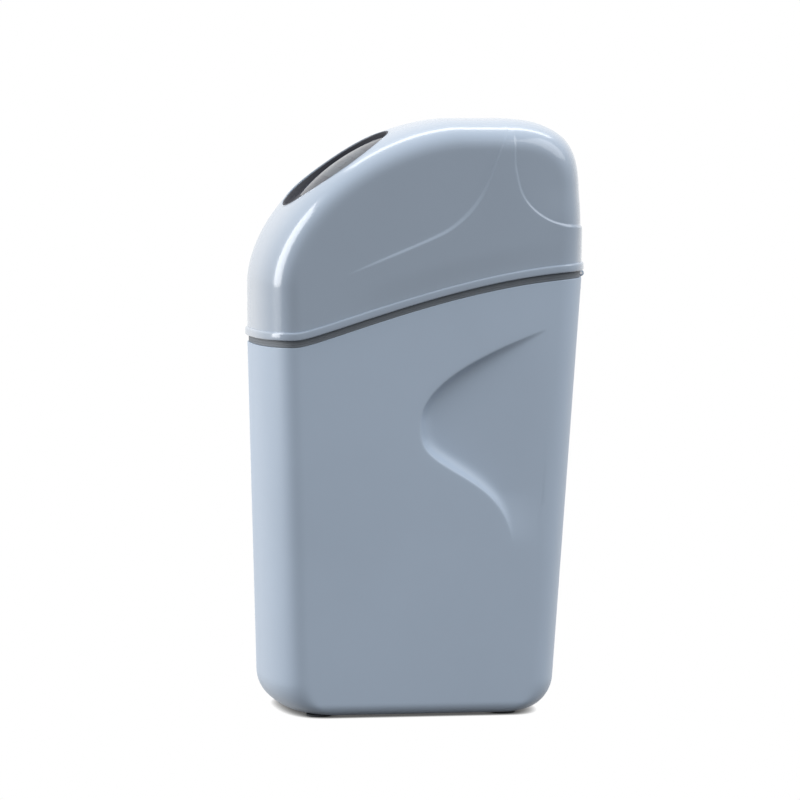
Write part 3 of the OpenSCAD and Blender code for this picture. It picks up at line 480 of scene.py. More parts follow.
@dataclass(frozen=True)
class Shell:
    """Sizes of the casing in millimetres, and the curves that tub, band and hood share."""

    front_y: float = -185.0
    rear_y: float = 180.0
    half_w: float = 117.5
    wall: float = 3.5
    corner_r: float = 40.0
    corner_n: float = 2.5
    seam_front: float = 417.0
    seam_rise: float = 75.0
    seam_lead: float = 28.0
    seam_tail: float = 6.0
    seam_soft: float = 0.002
    seam_pull: tuple[float, float] = (1.41, 2.82)
    lip_h: float = 9.0
    lip_out: float = 2.5
    band_h: float = 8.0
    foot_h: float = 2.5
    hinge_y: float = 184.0
    hinge_z: float = 486.5
    barrel_r: float = 3.5

    def seam(self, y: Array) -> Array:
        """Line of the seam, level at the front and rising to the rear.

        Args:
            y: Depths.

        Returns:
            Heights of the lip's underside.
        """
        start = self.front_y + self.seam_lead
        t = np.maximum(0.0, (y - start) / (self.rear_y - self.seam_tail - start))
        low = math.sqrt(self.seam_soft)
        full = math.sqrt(1.0 + self.seam_soft)
        u = np.clip((np.sqrt(t * t + self.seam_soft) - low) / (full - low), 0.0, 1.0)
        early, late = self.seam_pull
        rise = early * (1.0 - u) ** 2 * u + late * (1.0 - u) * u * u + u ** 3
        return self.seam_front + self.seam_rise * rise

    def plan(self, st: Array, half: Array | float, front: Array | float, rear: Array | float,
             radius: float) -> tuple[Array, Array]:
        """Points of a plan outline.

        Args:
            st: Station from 0 to 4: front, right side, rear, left side.
            half: Half width.
            front: Depth of the front.
            rear: Depth of the rear.
            radius: Depth of the rounded ends.

        Returns:
            X and Y.
        """
        st = np.mod(st, SIDES)
        kind, part = np.floor(st), np.mod(st, 1.0)
        turn = np.radians(np.where(kind == 0, -90.0 + 180.0 * part, 90.0 - 180.0 * part))
        bow = radius * (1.0 - pow_c(turn, self.corner_n))
        run = np.where(kind == 1, part, 1.0 - part)
        end = kind % 2 == 0
        x = np.where(end, half * pow_s(turn, self.corner_n), np.where(kind == 1, half, -half))
        y = np.where(end, np.where(kind == 0, front + bow, rear - bow),
                     mix(front + radius, rear - radius, run))
        return x, y

    def rim(self, st: Array) -> Array:
        """Height of the lip's underside at a station."""
        return self.seam(self.plan(st, self.half_w, self.front_y, self.rear_y, self.corner_r)[1])

    def ring(self, st: Array, out: float, rise: float) -> Array:
        """A loop round the seam.

        Args:
            st: Stations.
            out: How far the loop stands out of the wall.
            rise: Height over the lip's underside.

        Returns:
            The loop's points.
        """
        x, y = self.plan(st, self.half_w + out, self.front_y - out, self.rear_y + out, self.corner_r + out)
        return np.stack([x, y, self.rim(st) + rise], -1)

    def stations(self, arc: int, side: int) -> Array:
        """Stations round the plan, closer together at the ends' corners.

        Args:
            arc: Steps along each rounded end.
            side: Steps along each side.

        Returns:
            The stations from 0 to 4.
        """
        ends, runs = np.arange(arc) / arc, np.arange(side) / side
        return np.concatenate([ends, 1.0 + runs, 2.0 + ends, 3.0 + runs])


@dataclass
class Hinge:
    """Knuckles of the hinge at the rear of the seam, in millimetres."""

    shell: Shell
    knuckle_l: float = 24.0
    ear_l: float = 13.0
    gap: float = 0.3

    def knuckle(self, skin: Skin, x: float, length: float) -> None:
        """Adds one barrel with rounded ends.

        Args:
            skin: The piece that gets it.
            x: Middle of the barrel.
            length: Its length.
        """
        r, h, c = self.shell.barrel_r, length / 2.0, 0.5
        profile = [(0.01, -h), (r - c, -h), (r, -h + c), (r, h - c), (r - c, h), (0.01, h)]
        at = np.array([x, self.shell.hinge_y, self.shell.hinge_z])
        skin.loops(lathe(profile, 32, lambda p: p[:, [2, 0, 1]] + at))

    def web(self, skin: Skin, x: float, length: float, y: tuple[float, float],
            z: tuple[float, float]) -> None:
        """Adds the web that carries a barrel, with its long edges rounded off.

        Args:
            skin: The piece that gets it.
            x: Middle of the web.
            length: Its length.
            y: Depth from and to.
            z: Height from and to.
        """
        h, c = length / 2.0, 0.6
        rings = []
        for end, inset in ((-h, c), (-h + c, 0.0), (h - c, 0.0), (h, c)):
            y0, y1, z0, z1 = y[0], y[1] - inset, z[0] + inset, z[1] - inset
            rings.append(np.array([[x + end, y0, z0], [x + end, y1 - c, z0], [x + end, y1, z0 + c],
                                   [x + end, y1, z1 - c], [x + end, y1 - c, z1], [x + end, y0, z1]]))
        ids = skin.loops(rings)
        skin.cap(ids[0], flip=True)
        skin.cap(ids[-1])


@dataclass
class Tub:
    """The cabinet: drafted walls, rounded foot, hand scoops and the holes at the rear."""

    shell: Shell
    hinge: Hinge
    front_draft: float = 1.45
    rear_draft: float = 4.1
    side_draft: float = 0.6
    toe_r: float = 36.0
    sill_r: float = 12.0
    floor_z: float = 6.0
    scoop_t: float = 15.0
    scoop_slope: float = 1.85
    scoop_soft: float = 1.0
    scoop_y: float = -14.0
    scoop_z: float = 326.0
    scoop_end: float = 129.5
    scoop_bend: float = 73.0
    scoop_run: float = 111.0
    scoop_half: float = 65.0
    scoop_power: float = 3.6
    scoop_low: float = 138.0
    scoop_fade: float = 62.0
    scoop_curl: float = 0.35
    toe_share: float = 0.12
    port_x: float = 36.0
    port_z: float = 440.0
    port_r: float = 18.6
    drain_z: float = 462.0
    drain_r: float = 10.9
    overflow_z: float = 330.0
    overflow_r: float = 9.0
    gland_z: float = 398.0
    gland_r: float = 7.0

    def scoop(self, y: Array, z: Array) -> Array:
        """Hand scoop in the side: a crisp edge, then a hollow wall that runs out to the rear.

        Args:
            y: Depths of places on the side.
            z: Their heights.

        Returns:
            How deep the scoop is there.
        """
        d = z - self.scoop_z
        low = (np.maximum(-d, 0.0) / self.scoop_half) ** self.scoop_power
        under = self.scoop_run * low / (1.0 + low)
        edge = np.where(d > 0.0, d * d / self.scoop_bend, under)
        under_lean = self.scoop_power * under / (1.0 + low) / np.maximum(-d, 1.0)
        lean = np.where(d > 0.0, 2.0 * d / self.scoop_bend, under_lean)
        gap = (y - self.scoop_y - edge) / np.hypot(1.0, lean)
        gap = (gap + np.hypot(gap, self.scoop_soft)) / 2.0
        along = np.clip((y - self.scoop_y) / (self.scoop_end - self.scoop_y), 0.0, 1.0)
        full = (1.0 - along ** 2) ** 1.5 * ease((d + self.scoop_low) / self.scoop_fade)
        floor = self.scoop_t * np.maximum(0.001, full)
        t = gap * self.scoop_slope / np.sqrt(floor * self.scoop_t)
        return floor * (1.0 - np.exp(-t - self.scoop_curl * t * t))

    def toe(self, z: Array, radius: float) -> Array:
        """Inset of a rounded lower edge.

        Args:
            z: Heights.
            radius: The rounding's radius.

        Returns:
            The inset at each height.
        """
        t = np.clip(1.0 - (z - self.shell.foot_h) / radius, 0.0, 1.0)
        return radius * (1.0 - np.sqrt(1.0 - t * t))

    def wall(self, st: Array, z: Array, inset: float) -> Array:
        """Points of the wall.

        Args:
            st: Stations round the plan.
            z: Heights.
            inset: How far inside the outer face.

        Returns:
            The points.
        """
        form = self.shell
        front_rim = form.seam_front - form.band_h
        rear_rim = front_rim + form.seam_rise
        ahead, below = np.maximum(0.0, front_rim - z), np.maximum(0.0, rear_rim - z)
        front = form.front_y + ahead * fall(self.front_draft) + self.toe(z, self.toe_r)
        rear = form.rear_y - below * fall(self.rear_draft) - self.toe(z, self.toe_r)
        half = form.half_w - below * fall(self.side_draft) - self.toe(z, self.sill_r)
        x, y = form.plan(st, half - inset, front + inset, rear - inset, form.corner_r - inset)
        kind = np.floor(np.mod(st, SIDES))
        hollow = np.where(kind % 2 == 1, self.scoop(y, z), 0.0)
        return np.stack([x - np.sign(x) * hollow, y, z], -1)

    def level(self, st: Array, q: Array) -> Array:
        """Heights of levels of the wall.

        Args:
            st: Stations round the plan.
            q: Levels from 0 at the foot to 1 at the rim.

        Returns:
            The heights.
        """
        form = self.shell
        turn = np.clip(q / self.toe_share, 0.0, 1.0) * math.pi / 2.0
        toe = form.foot_h + self.toe_r * (1.0 - np.cos(turn))
        top = form.rim(st) - form.band_h - 0.7
        climb = np.clip((q - self.toe_share) / (1.0 - self.toe_share), 0.0, 1.0)
        return np.where(q < self.toe_share, toe, mix(form.foot_h + self.toe_r, top, climb))

    def holes(self) -> list[tuple[Array, Array, float]]:
        """Lists the holes at the rear.

        Returns:
            For each a point on the axis, the axis and the radius.
        """
        flat = np.array([0.0, 1.0, 0.0])
        turn = math.radians(self.rear_draft)
        lean = np.array([0.0, math.cos(turn), -math.sin(turn)])
        spots = [(-self.port_x, self.port_z, flat, self.port_r),
                 (self.port_x, self.port_z, flat, self.port_r),
                 (0.0, self.drain_z, flat, self.drain_r), (0.0, self.overflow_z, lean, self.overflow_r),
                 (0.0, self.gland_z, lean, self.gland_r)]
        return [(np.array([x, self.rear(np.array(x), np.array(z), 0.0), z]), axis, radius)
                for x, z, axis, radius in spots]

    def rear(self, x: Array, z: Array, inset: float) -> Array:
        """Face of the rear wall.

        Args:
            x: Places across.
            z: Heights.
            inset: How far inside the outer face.

        Returns:
            The wall's depth there.
        """
        form = self.shell
        below = np.maximum(0.0, form.seam_front + form.seam_rise - form.band_h - z)
        rear = form.rear_y - below * fall(self.rear_draft) - inset
        half = form.half_w - below * fall(self.side_draft) - inset
        bow = (1.0 - np.abs(x / half) ** form.corner_n) ** (1.0 / form.corner_n)
        return rear - (form.corner_r - inset) * (1.0 - bow)

    def open(self, points: Array) -> Array:
        """Says which points lie in a rear hole.

        Args:
            points: The points.

        Returns:
            Their distance from the nearest hole's edge, negative inside it.
        """
        best = np.full(len(points), 1e3)
        for at, axis, radius in self.holes():
            off = points - at
            along = off @ axis
            away = np.linalg.norm(off - along[:, None] * axis, axis=1) - radius
            best = np.where(np.abs(along) < 12.0, np.minimum(best, away), best)
        return best

    def build(self) -> None:
        """Builds the tub in place of its CAD node."""
        form, skin = self.shell, Skin()
        st = form.stations(72, 110)
        q = np.concatenate([np.linspace(0.0, self.toe_share, 20), np.linspace(self.toe_share, 1.0, 130)[1:]])
        skin.refine(lambda u, v: self.wall(v, self.level(v, u), 0.0), q, st, self.steep, 4, closed=True)
        skin.clip(self.open)
        top = form.rim(st) - form.band_h
        edge = ((0.0, 0.7), (0.2, 0.2), (0.7, 0.0), (form.wall, 0.0))
        skin.loops([self.wall(st, top - drop, inset) for inset, drop in edge])
        bottom = skin.add(self.wall(st, np.full(len(st), form.foot_h), 0.0))
        skin.cap(bottom, flip=True)
        for at, _, radius in self.holes():
            self.collar(skin, at, radius)
        for side in (-1.0, 1.0):
            x = side * (self.hinge.knuckle_l + self.hinge.ear_l) / 2.0
            length = self.hinge.ear_l - 2.0 * self.hinge.gap
            self.hinge.knuckle(skin, x, length)
            self.hinge.web(skin, x, length, (form.rear_y - 3.0, form.hinge_y),
                           (form.hinge_z - 18.0, form.hinge_z - 2.5))
        piece = skin.build("cabinet_skin", TUB, "cabinet_body", "tub_plastic")
        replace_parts(piece, "cabinet")
        self.liner(form)

    def steep(self, p: Array) -> Array:
        """Says where the hand scoop's wall needs a finer lattice.

        Args:
            p: Points of the side.

        Returns:
            True where the wall is steep.
        """
        y, z = p[..., 1], p[..., 2]
        across = self.scoop(y + 1.0, z) - self.scoop(y - 1.0, z)
        up = self.scoop(y, z + 1.0) - self.scoop(y, z - 1.0)
        hollow = np.abs(p[..., 0]) < self.shell.half_w - 0.4
        return hollow & (np.hypot(across, up) / 2.0 > 0.09)

    def collar(self, skin: Skin, at: Array, radius: float) -> None:
        """Adds the wall of a hole, with a softened outer edge.

        Args:
            skin: The piece that gets it.
            at: A point on the hole's axis.
            radius: The hole's radius.
        """
        angle = turns(64)
        rings = []
        for grow, inset in ((0.9, -0.02), (0.35, -0.05), (0.05, 0.25), (0.0, 0.7), (0.0, self.shell.wall)):
            x = at[0] + (radius + grow) * np.cos(angle)
            z = at[2] + (radius + grow) * np.sin(angle)
            rings.append(np.stack([x, self.rear(x, z, inset), z], -1))
        skin.loops(rings)

    def liner(self, form: Shell) -> None:
        """Builds the inside of the tub.

        Args:
            form: The casing's sizes.
        """
        skin = Skin()
        st = form.stations(48, 60)
        up = np.concatenate([np.linspace(0.0, self.toe_share, 8), np.linspace(self.toe_share, 1.0, 40)[1:]])
        lift = self.floor_z - form.foot_h

        def place(u: Array, v: Array) -> Array:
            """Inner wall, raised onto the floor.

            Args:
                u: Levels of the wall.
                v: Stations round the plan.

            Returns:
                The points.
            """
            z = self.level(v, u)
            p = self.wall(v, z, form.wall)
            p[..., 2] += lift * np.clip(1.0 - (z - form.foot_h) / self.toe_r, 0.0, 1.0)
            return p

        skin.refine(place, up, st, nowhere, 2, closed=True)
        skin.turn_over()
        skin.clip(self.open)
        skin.cap(skin.add(place(np.zeros(len(st)), st)))
        piece = skin.build("cabinet_liner", TUB, "cabinet_body", "tub_plastic")
        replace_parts(piece, "cabinet")


@dataclass
class SeamBand:
    """The soft dark band in the seam, and the feet."""

    shell: Shell
    foot_r: float = 14.0
    foot_front: float = 62.0
    foot_rear: float = 96.0
    foot_side: float = 35.0

    def build(self) -> None:
        """Builds the band and the feet in place of their CAD nodes."""
        st = self.shell.stations(72, 110)
        skin = Skin()
        steps = [(-3.4, -7.8), (-2.0, -7.85), (-1.62, -7.6), (-1.5, -7.1), (-1.5, -5.4), (-1.8, -5.1),
                 (-1.8, -4.8), (-1.5, -4.5), (-1.5, -1.1), (-1.62, -0.6), (-2.0, -0.35), (-3.4, -0.35)]
        skin.loops([self.shell.ring(st, out, rise) for out, rise in steps])
        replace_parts(skin.build("seam_band", SEAL, "cabinet_body", "soft_seal"), "seal_band")
        feet = Skin()
        r, h = self.foot_r, self.shell.foot_h
        profile = [(0.05, 0.35), (5.0, 0.35), (5.4, 0.0), (7.6, 0.0), (8.0, 0.35), (8.6, 0.35), (9.0, 0.0),
                   (r - 1.6, 0.0), (r - 0.5, 0.3), (r, 0.9), (r, h)]
        for x in (-1.0, 1.0):
            for y in (self.shell.front_y + self.foot_front, self.shell.rear_y - self.foot_rear):
                at = np.array([x * (self.shell.half_w - self.foot_side), y, 0.0])
                feet.loops(lathe(profile, 48, lambda p: p + at))
        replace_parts(feet.build("foot_rings", RUBBER, "cabinet_body", "foot_rubber", 30.0), "foot_pads")


@dataclass
class Crease:
    """A line pressed into the hood's side, as depth and height of its points in millimetres."""

    knots: Sequence[tuple[float, float]]
    line: Array = field(init=False)

    def __post_init__(self) -> None:
        """Rounds the line off between its knots."""
        k = np.array(self.knots)
        k = np.vstack([2 * k[0] - k[1], k, 2 * k[-1] - k[-2]])
        run = []
        for a, b, c, d in zip(k, k[1:], k[2:], k[3:]):
            t = np.linspace(0.0, 1.0, 12, endpoint=False)[:, None]
            run.append(0.5 * (2 * b + (c - a) * t + (2 * a - 5 * b + 4 * c - d) * t ** 2
                              + (3 * b - a - 3 * c + d) * t ** 3))
        self.line = np.vstack(run + [k[-2:-1]])

    def away(self, y: Array, z: Array) -> Array:
        """Signed distance of places on the side from the line.

        Args:
            y: Depths.
            z: Heights.

        Returns:
            The distance, positive to the left of the line's run.
        """
        p = np.stack([np.ravel(y), np.ravel(z)], -1)
        best, sign = np.full(len(p), 1e9), np.ones(len(p))
        for a, b in zip(self.line, self.line[1:]):
            d = b - a
            off = p - a
            t = np.clip(off @ d / (d @ d), 0.0, 1.0)
            gap = np.hypot(*(off - t[:, None] * d).T)
            near = gap < best - 1e-9
            best[near] = gap[near]
            sign[near] = np.sign(d[0] * off[near, 1] - d[1] * off[near, 0])
        return (best * sign).reshape(np.shape(y))


@dataclass
class Hood:
    """The hinged top: domed skin with pressed lines, opening for the panel and proud lip."""

    shell: Shell
    hinge: Hinge
    crown_r: float = 36.0
    crown_n: float = 2.6
    crown_y: float = 37.0
    brow_l: float = 222.0
    brow_h: float = 184.0
    brow_n: float = 1.7
    brow_m: float = 1.8
    brow_z: float = 476.0
    quarter_z: float = 540.0
    rear_h: float = 120.0
    rear_n: float = 4.5
    brow_s: float = 0.1
    crown_s: float = 0.55
    quarter_s: float = 0.87
    proud: float = 2.2
    line_w: float = 2.2
    bend_w: float = 2.6
    bend_z: float = 556.0
    bend_h: float = 45.0
    corner_w: float = 2.6
    line_top: float = 652.0
    line_front: float = -104.0
    line_fade: float = 76.0
    sunk: tuple[float, float, float] = (1.2, 0.8, 1.8)
    sweep: Crease = field(default_factory=lambda: Crease([
        (95.0, 720.0), (86.0, 656.0), (77.0, 632.0), (68.0, 609.0), (58.2, 585.0), (48.3, 567.8),
        (33.4, 551.0), (14.6, 536.8), (-13.2, 523.8), (-60.0, 504.4), (-140.0, 471.0), (-260.0, 421.0)]))
    corner: Crease = field(default_factory=lambda: Crease([
        (94.0, 720.0), (91.5, 650.0), (91.0, 616.0), (92.2, 602.5), (98.2, 579.2), (109.0, 563.0),
        (125.0, 550.7), (142.5, 543.8), (163.0, 541.0), (183.0, 540.0), (260.0, 538.0)]))

    def over(self, s: Array) -> Array:
        """Share of the crown's rounding at s, none at the two ends of the seam."""
        return np.minimum(ease(s / 0.3), ease((1.0 - s) / 0.28))

    def side(self, s: Array, e: Array) -> tuple[Array, Array]:
        """Side profile.

        Args:
            s: From 0 at the front seam to 1 at the rear seam.
            e: Inset.

        Returns:
            Depth and height.
        """
        form = self.shell
        brow = np.radians(90.0 * np.clip((s - self.brow_s) / (self.crown_s - self.brow_s), 0.0, 1.0))
        tail = np.radians(90.0 * np.clip((s - self.crown_s) / (self.quarter_s - self.crown_s), 0.0, 1.0))
        stretch = [s <= self.brow_s, s <= self.crown_s, s <= self.quarter_s]
        rear = form.rear_y - e
        y = np.select(stretch, [form.front_y + e,
                                self.crown_y - (self.brow_l - e) * pow_c(brow, self.brow_n),
                                self.crown_y + (rear - self.crown_y) * pow_s(tail, self.rear_n)], rear)
        seam = form.seam(y) + form.lip_h
        z = np.select(stretch, [mix(seam, self.brow_z, s / self.brow_s),
                                self.brow_z + (self.brow_h - e) * pow_s(brow, self.brow_m),
                                self.quarter_z + (self.rear_h - e) * pow_c(tail, self.rear_n)],
                      mix(self.quarter_z, seam, (s - self.quarter_s) / (1.0 - self.quarter_s)))
        return y, z

    def dome(self, s: Array, q: Array, inset: float, drop: float) -> Array:
        """Points of the plain dome.

        Args:
            s: Along the side profile.
            q: Across, from -1 at the left seam over 0 at the top to 1 at the right seam.
            inset: How far inside the outer face.
            drop: Height of the lower edge over the lip's underside.

        Returns:
            The points.
        """
        form = self.shell
        j = np.abs(q)
        a = np.radians(90.0 * np.minimum(j / 0.5, 1.0))
        v = np.clip((j - 0.5) / 0.5, 0.0, 1.0)
        n, r = mix(form.corner_n, self.crown_n, self.over(s)), mix(form.corner_r, self.crown_r, self.over(s))
        y, z = self.side(s, inset + (r - inset) * (1.0 - pow_c(a, n)))
        low = mix(form.front_y + form.corner_r, form.rear_y - form.corner_r, s)
        x = np.sign(q) * (form.half_w - inset) * pow_s(a, n)
        return np.stack([x, mix(y, low, v), mix(z, form.seam(low) + drop, v)], -1)

    def relief(self, p: Array) -> Array:
        """Pressed band and sunk rear corner, against the plain dome.

        Args:
            p: Points of the dome.

        Returns:
            How far the skin stands out of the dome there.
        """
        y, z = p[..., 1], p[..., 2]
        soft = self.line_w + self.bend_w * ease(1.0 - np.abs(z - self.bend_z) / self.bend_h)
        band = ease(0.5 + self.sweep.away(y, z) / soft)
        rest = ease(0.5 - self.corner.away(y, z) / self.corner_w)
        low = ease((self.line_top - z) / 30.0)
        fade = ease((y - self.line_front) / self.line_fade) * mix(0.2, 1.0, low)
        foot = mix(0.45, 1.0, ease((z - self.shell.seam(y) - self.shell.lip_h) / 30.0))
        rise = mix(self.proud, 0.3, ease((y - 75.0) / 90.0)) * band * fade * foot
        back = ease((y - 100.0) / 65.0) * ease((662.0 - z) / 12.0)
        even, rear, above = self.sunk
        sunk = even * low + back * (rear + above * ease((z - 548.0) / 40.0))
        return mix(rise - sunk, rise, rest)

    def skin_at(self, s: Array, q: Array) -> Array:
        """Outer skin, with the pressed band.

        Args:
            s: Along the side profile.
            q: Across, as for dome().

        Returns:
            The points.
        """
        drop, h = self.shell.lip_h - 0.6, 1e-3
        p = self.dome(s, q, 0.0, drop)
        ahead, behind = np.minimum(s + h, 1.0), np.maximum(s - h, 0.0)
        right, left = np.minimum(q + h, 1.0), np.maximum(q - h, -1.0)
        n = np.cross(self.dome(s, right, 0.0, drop) - self.dome(s, left, 0.0, drop),
                     self.dome(ahead, q, 0.0, drop) - self.dome(behind, q, 0.0, drop))
        size = np.linalg.norm(n, axis=-1, keepdims=True)
        flat = np.stack([np.sign(q), np.zeros_like(q), np.zeros_like(q)], -1)
        n = np.where(size > 1e-4, -n / np.maximum(size, 1e-9), flat)
        out = np.sign((n * (p - np.array([0.0, 0.0, 480.0]))).sum(-1, keepdims=True))
        p = p + n * out * self.relief(p)[..., None]
        p[..., 2] = np.minimum(p[..., 2], self.brow_z + self.brow_h)
        return p

    def even(self, count: int) -> Array:
        """Steps along the side profile.

        Args:
            count: How many.

        Returns:
            Values of s at even distances along the top.
        """
        s = np.linspace(0.0, 1.0, 4000)
        y, z = self.side(s, np.zeros_like(s))
        run = np.append(0.0, np.cumsum(np.hypot(np.diff(y), np.diff(z))))
        return np.interp(np.linspace(0.0, run[-1], count), run, s)

    def creased(self, p: Array) -> Array:
        """Says where the skin needs a finer lattice.

        Args:
            p: Points of the skin.

        Returns:
            True close to a pressed line.
        """
        y, z = p[..., 1], p[..., 2]
        away = np.minimum(np.abs(self.sweep.away(y, z)), np.abs(self.corner.away(y, z)))
        return (away < 5.0) & (y > self.line_front - 2.0) & (z < self.line_top)

    def build(self, panel: "ControlPanel") -> None:
        """Builds the hood in place of its CAD node.

        Args:
            panel: The control panel that sits in the opening.
        """
        form, skin = self.shell, Skin()
        skin.refine(self.skin_at, self.even(250), np.linspace(-1.0, 1.0, 181), self.creased, 3)
        cut = skin.clip(panel.outside)
        st = form.stations(72, 110)
        steps = [(-6.0, 0.0), (-1.1, 0.0), (-0.4, 0.25), (-0.05, 0.9), (0.0, 1.6), (0.0, 6.6), (-0.15, 7.3),
                 (-0.55, 8.0), (-1.15, 8.6), (-1.9, 8.95), (-3.7, form.lip_h)]
        skin.loops([form.ring(st, form.lip_out + out, rise) for out, rise in steps])
        length = self.hinge.knuckle_l - 2.0 * self.hinge.gap
        self.hinge.knuckle(skin, 0.0, length)
        self.hinge.web(skin, 0.0, length, (form.rear_y - 0.5, form.hinge_y + form.barrel_r - 0.8),
                       (form.hinge_z, form.seam_front + form.seam_rise + form.lip_h - 2.0))
        self.rim(skin, panel, cut)
        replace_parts(skin.build("hood_skin", HOOD, "hood_body", "hood_plastic", 50.0), "hood")
        inside = Skin()
        inside.refine(lambda s, q: self.dome(s, q, form.wall, 0.0), self.even(110),
                      np.linspace(-1.0, 1.0, 91), nowhere, 2)
        inside.turn_over()
        inside.clip(panel.outside)
        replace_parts(inside.build("hood_liner", HOOD, "hood_body", "hood_plastic"), "hood")

    def rim(self, skin: Skin, panel: "ControlPanel", cut: Array) -> None:
        """Rounds off the edge of the panel's opening.

        Args:
            skin: The hood's skin.
            panel: The control panel.
            cut: Points along the cut edge.
        """
        local = panel.to_panel(cut)
        turn = np.arctan2(local[:, 1] / panel.half_v, local[:, 0] / panel.half_u)
        order = np.argsort(turn)
        angle = np.linspace(-math.pi, math.pi, 256, endpoint=False)
        high = np.interp(angle, turn[order], local[order, 2], period=2.0 * math.pi)
        rings = []
        for k in turns(12):
            ring = panel.oval(angle, 0.95 + 1.0 * math.cos(k), 0.0)
            ring[:, 2] = high - 0.85 + 1.0 * math.sin(k)
            rings.append(panel.to_model(ring))
        skin.loops(rings + rings[:1])


@dataclass
class ControlPanel:
    """The sloping oval panel: dark bezel, tinted glass, display and four keys, in millimetres."""

    at: tuple[float, float, float] = (0.0, -87.6, 599.8)
    tilt: float = 35.25
    half_u: float = 83.0
    half_v: float = 71.5
    window_u: float = 72.0
    window_v: float = 57.0
    window_at: float = 7.0
    rise: float = 9.4
    edge: float = 1.2
    dome: float = 6.2
    key_r: float = 3.8
    key_pitch: float = 12.6
    key_v: float = -57.0
    key_gap: float = 0.3
    keys: tuple[str, ...] = ("key_set", "key_down", "key_up", "key_regen")
    crest: float = 1.5
    lcd_u: float = 39.0
    lcd_v: float = 24.0
    lcd_at: float = 11.0
    film_w: float = -3.4

    def to_model(self, p: Array) -> Array:
        """Takes points of the panel's frame to the model's.

        Args:
            p: Points as across, up the slope and over the face.

        Returns:
            The points in the model's frame.
        """
        c, s = math.cos(math.radians(self.tilt)), math.sin(math.radians(self.tilt))
        return np.stack([p[..., 0], self.at[1] + p[..., 1] * c - p[..., 2] * s,
                         self.at[2] + p[..., 1] * s + p[..., 2] * c], -1)

    def to_panel(self, p: Array) -> Array:
        """Takes points of the model's frame to the panel's.

        Args:
            p: Points in the model's frame.

        Returns:
            The points as across, up the slope and over the face.
        """
        c, s = math.cos(math.radians(self.tilt)), math.sin(math.radians(self.tilt))
        y, z = p[..., 1] - self.at[1], p[..., 2] - self.at[2]
        return np.stack([p[..., 0], y * c + z * s, z * c - y * s], -1)

    def outside(self, p: Array) -> Array:
        """Says which points lie in the panel's opening.

        Args:
            p: Points in the model's frame.

        Returns:
            Their distance from the opening's edge, negative inside it.
        """
        q = self.to_panel(p)
        away = (np.hypot(q[..., 0] / self.half_u, q[..., 1] / self.half_v) - 1.0) * self.half_v
        return np.where(np.abs(q[..., 2]) < 60.0, away, 1e3)

    def oval(self, angle: Array, out: float, w: float) -> Array:
        """A ring round the panel.

        Args:
            angle: Turns round the oval.
            out: How far outside the panel's edge.
            w: Height over the panel's face.

        Returns:
            The ring's points in the panel's frame.
        """
        u, v = self.half_u * np.cos(angle), self.half_v * np.sin(angle)
        n = np.stack([np.cos(angle) / self.half_u, np.sin(angle) / self.half_v], -1)
        n /= np.linalg.norm(n, axis=1, keepdims=True)
        return np.stack([u + n[:, 0] * out, v + n[:, 1] * out, np.full(len(angle), w)], -1)

    def window(self, angle: Array, out: float, w: float) -> Array:
        """A ring round the window.

        Args:
            angle: Turns round the window.
            out: How far outside its edge.
            w: Height over the panel's face.

        Returns:
            The ring's points in the panel's frame.
        """
        u = (self.window_u + out) * np.cos(angle)
        v = self.window_at + (self.window_v + out) * np.sin(angle)
        return np.stack([u, v, np.full(len(angle), w)], -1)

    def key_x(self, k: int) -> float:
        """Place of key k across the panel."""
        return (k - (len(self.keys) - 1) / 2.0) * self.key_pitch

    def key_frame(self, k: int) -> Callable[[Array], Array]:
        """Frame of a key.

        Args:
            k: The key's place from the left.

        Returns:
            Takes points of the key's own frame to the model's.
        """
        at = np.array([self.key_x(k), self.key_v, 0.0])
        return lambda p: self.to_model(p + at)

    def clear_of_keys(self, p: Array) -> Array:
        """Says which points lie in a key's hole.

        Args:
            p: Points in the model's frame.

        Returns:
            Their distance from the nearest hole's edge, negative inside it.
        """
        q = self.to_panel(p)
        gaps = [np.hypot(q[..., 0] - self.key_x(k), q[..., 1] - self.key_v) for k in range(len(self.keys))]
        return np.min(gaps, axis=0) - self.key_r - self.key_gap

    def build(self) -> None:
        """Builds the panel's pieces in place of their CAD nodes."""
        self.bezel()
        self.glass()
        self.display()
        for k, node in enumerate(self.keys):
            self.key(k, node)

    def bezel(self) -> None:
        """Builds the dark surround with its sleeve and the openings for window and keys."""
        angle = turns(224)
        steps = [(-0.15, -4.0), (-0.15, 5.6), (-0.4, 6.0), (-0.9, 6.2), (-1.7, 6.2), (-2.2, 6.0), (-2.5, 5.5),
                 (-2.5, 1.2), (-2.8, 0.5), (-3.4, 0.1), (-4.2, 0.0)]
        skin = Skin()
        rings = [self.oval(angle, out, w) for out, w in steps]
        for ring, (_, w) in zip(rings, steps):
            ring[:, 2] += self.crest * np.cos(angle) ** 2 * float(ease(w / 5.0))
        start, end = rings[-1], self.window(angle, 1.4, 0.0)
        rings += [mix(start, end, t) for t in np.linspace(0.0, 1.0, 22)[1:]]
        edge = ((0.7, -0.08), (0.25, -0.4), (0.1, -0.9), (0.1, -4.0))
        rings += [self.window(angle, out, w) for out, w in edge]
        skin.loops([self.to_model(r) for r in rings])
        skin.clip(self.clear_of_keys)
        r = self.key_r + self.key_gap
        profile = [(r + 0.8, 0.02), (r + 0.3, 0.06), (r, -0.3), (r, -4.0)]
        for k in range(len(self.keys)):
            skin.loops(lathe(profile, 40, self.key_frame(k)))
        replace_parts(skin.build("panel_bezel", BEZEL, "hood_body", "bezel_black", 35.0), "display_bezel")

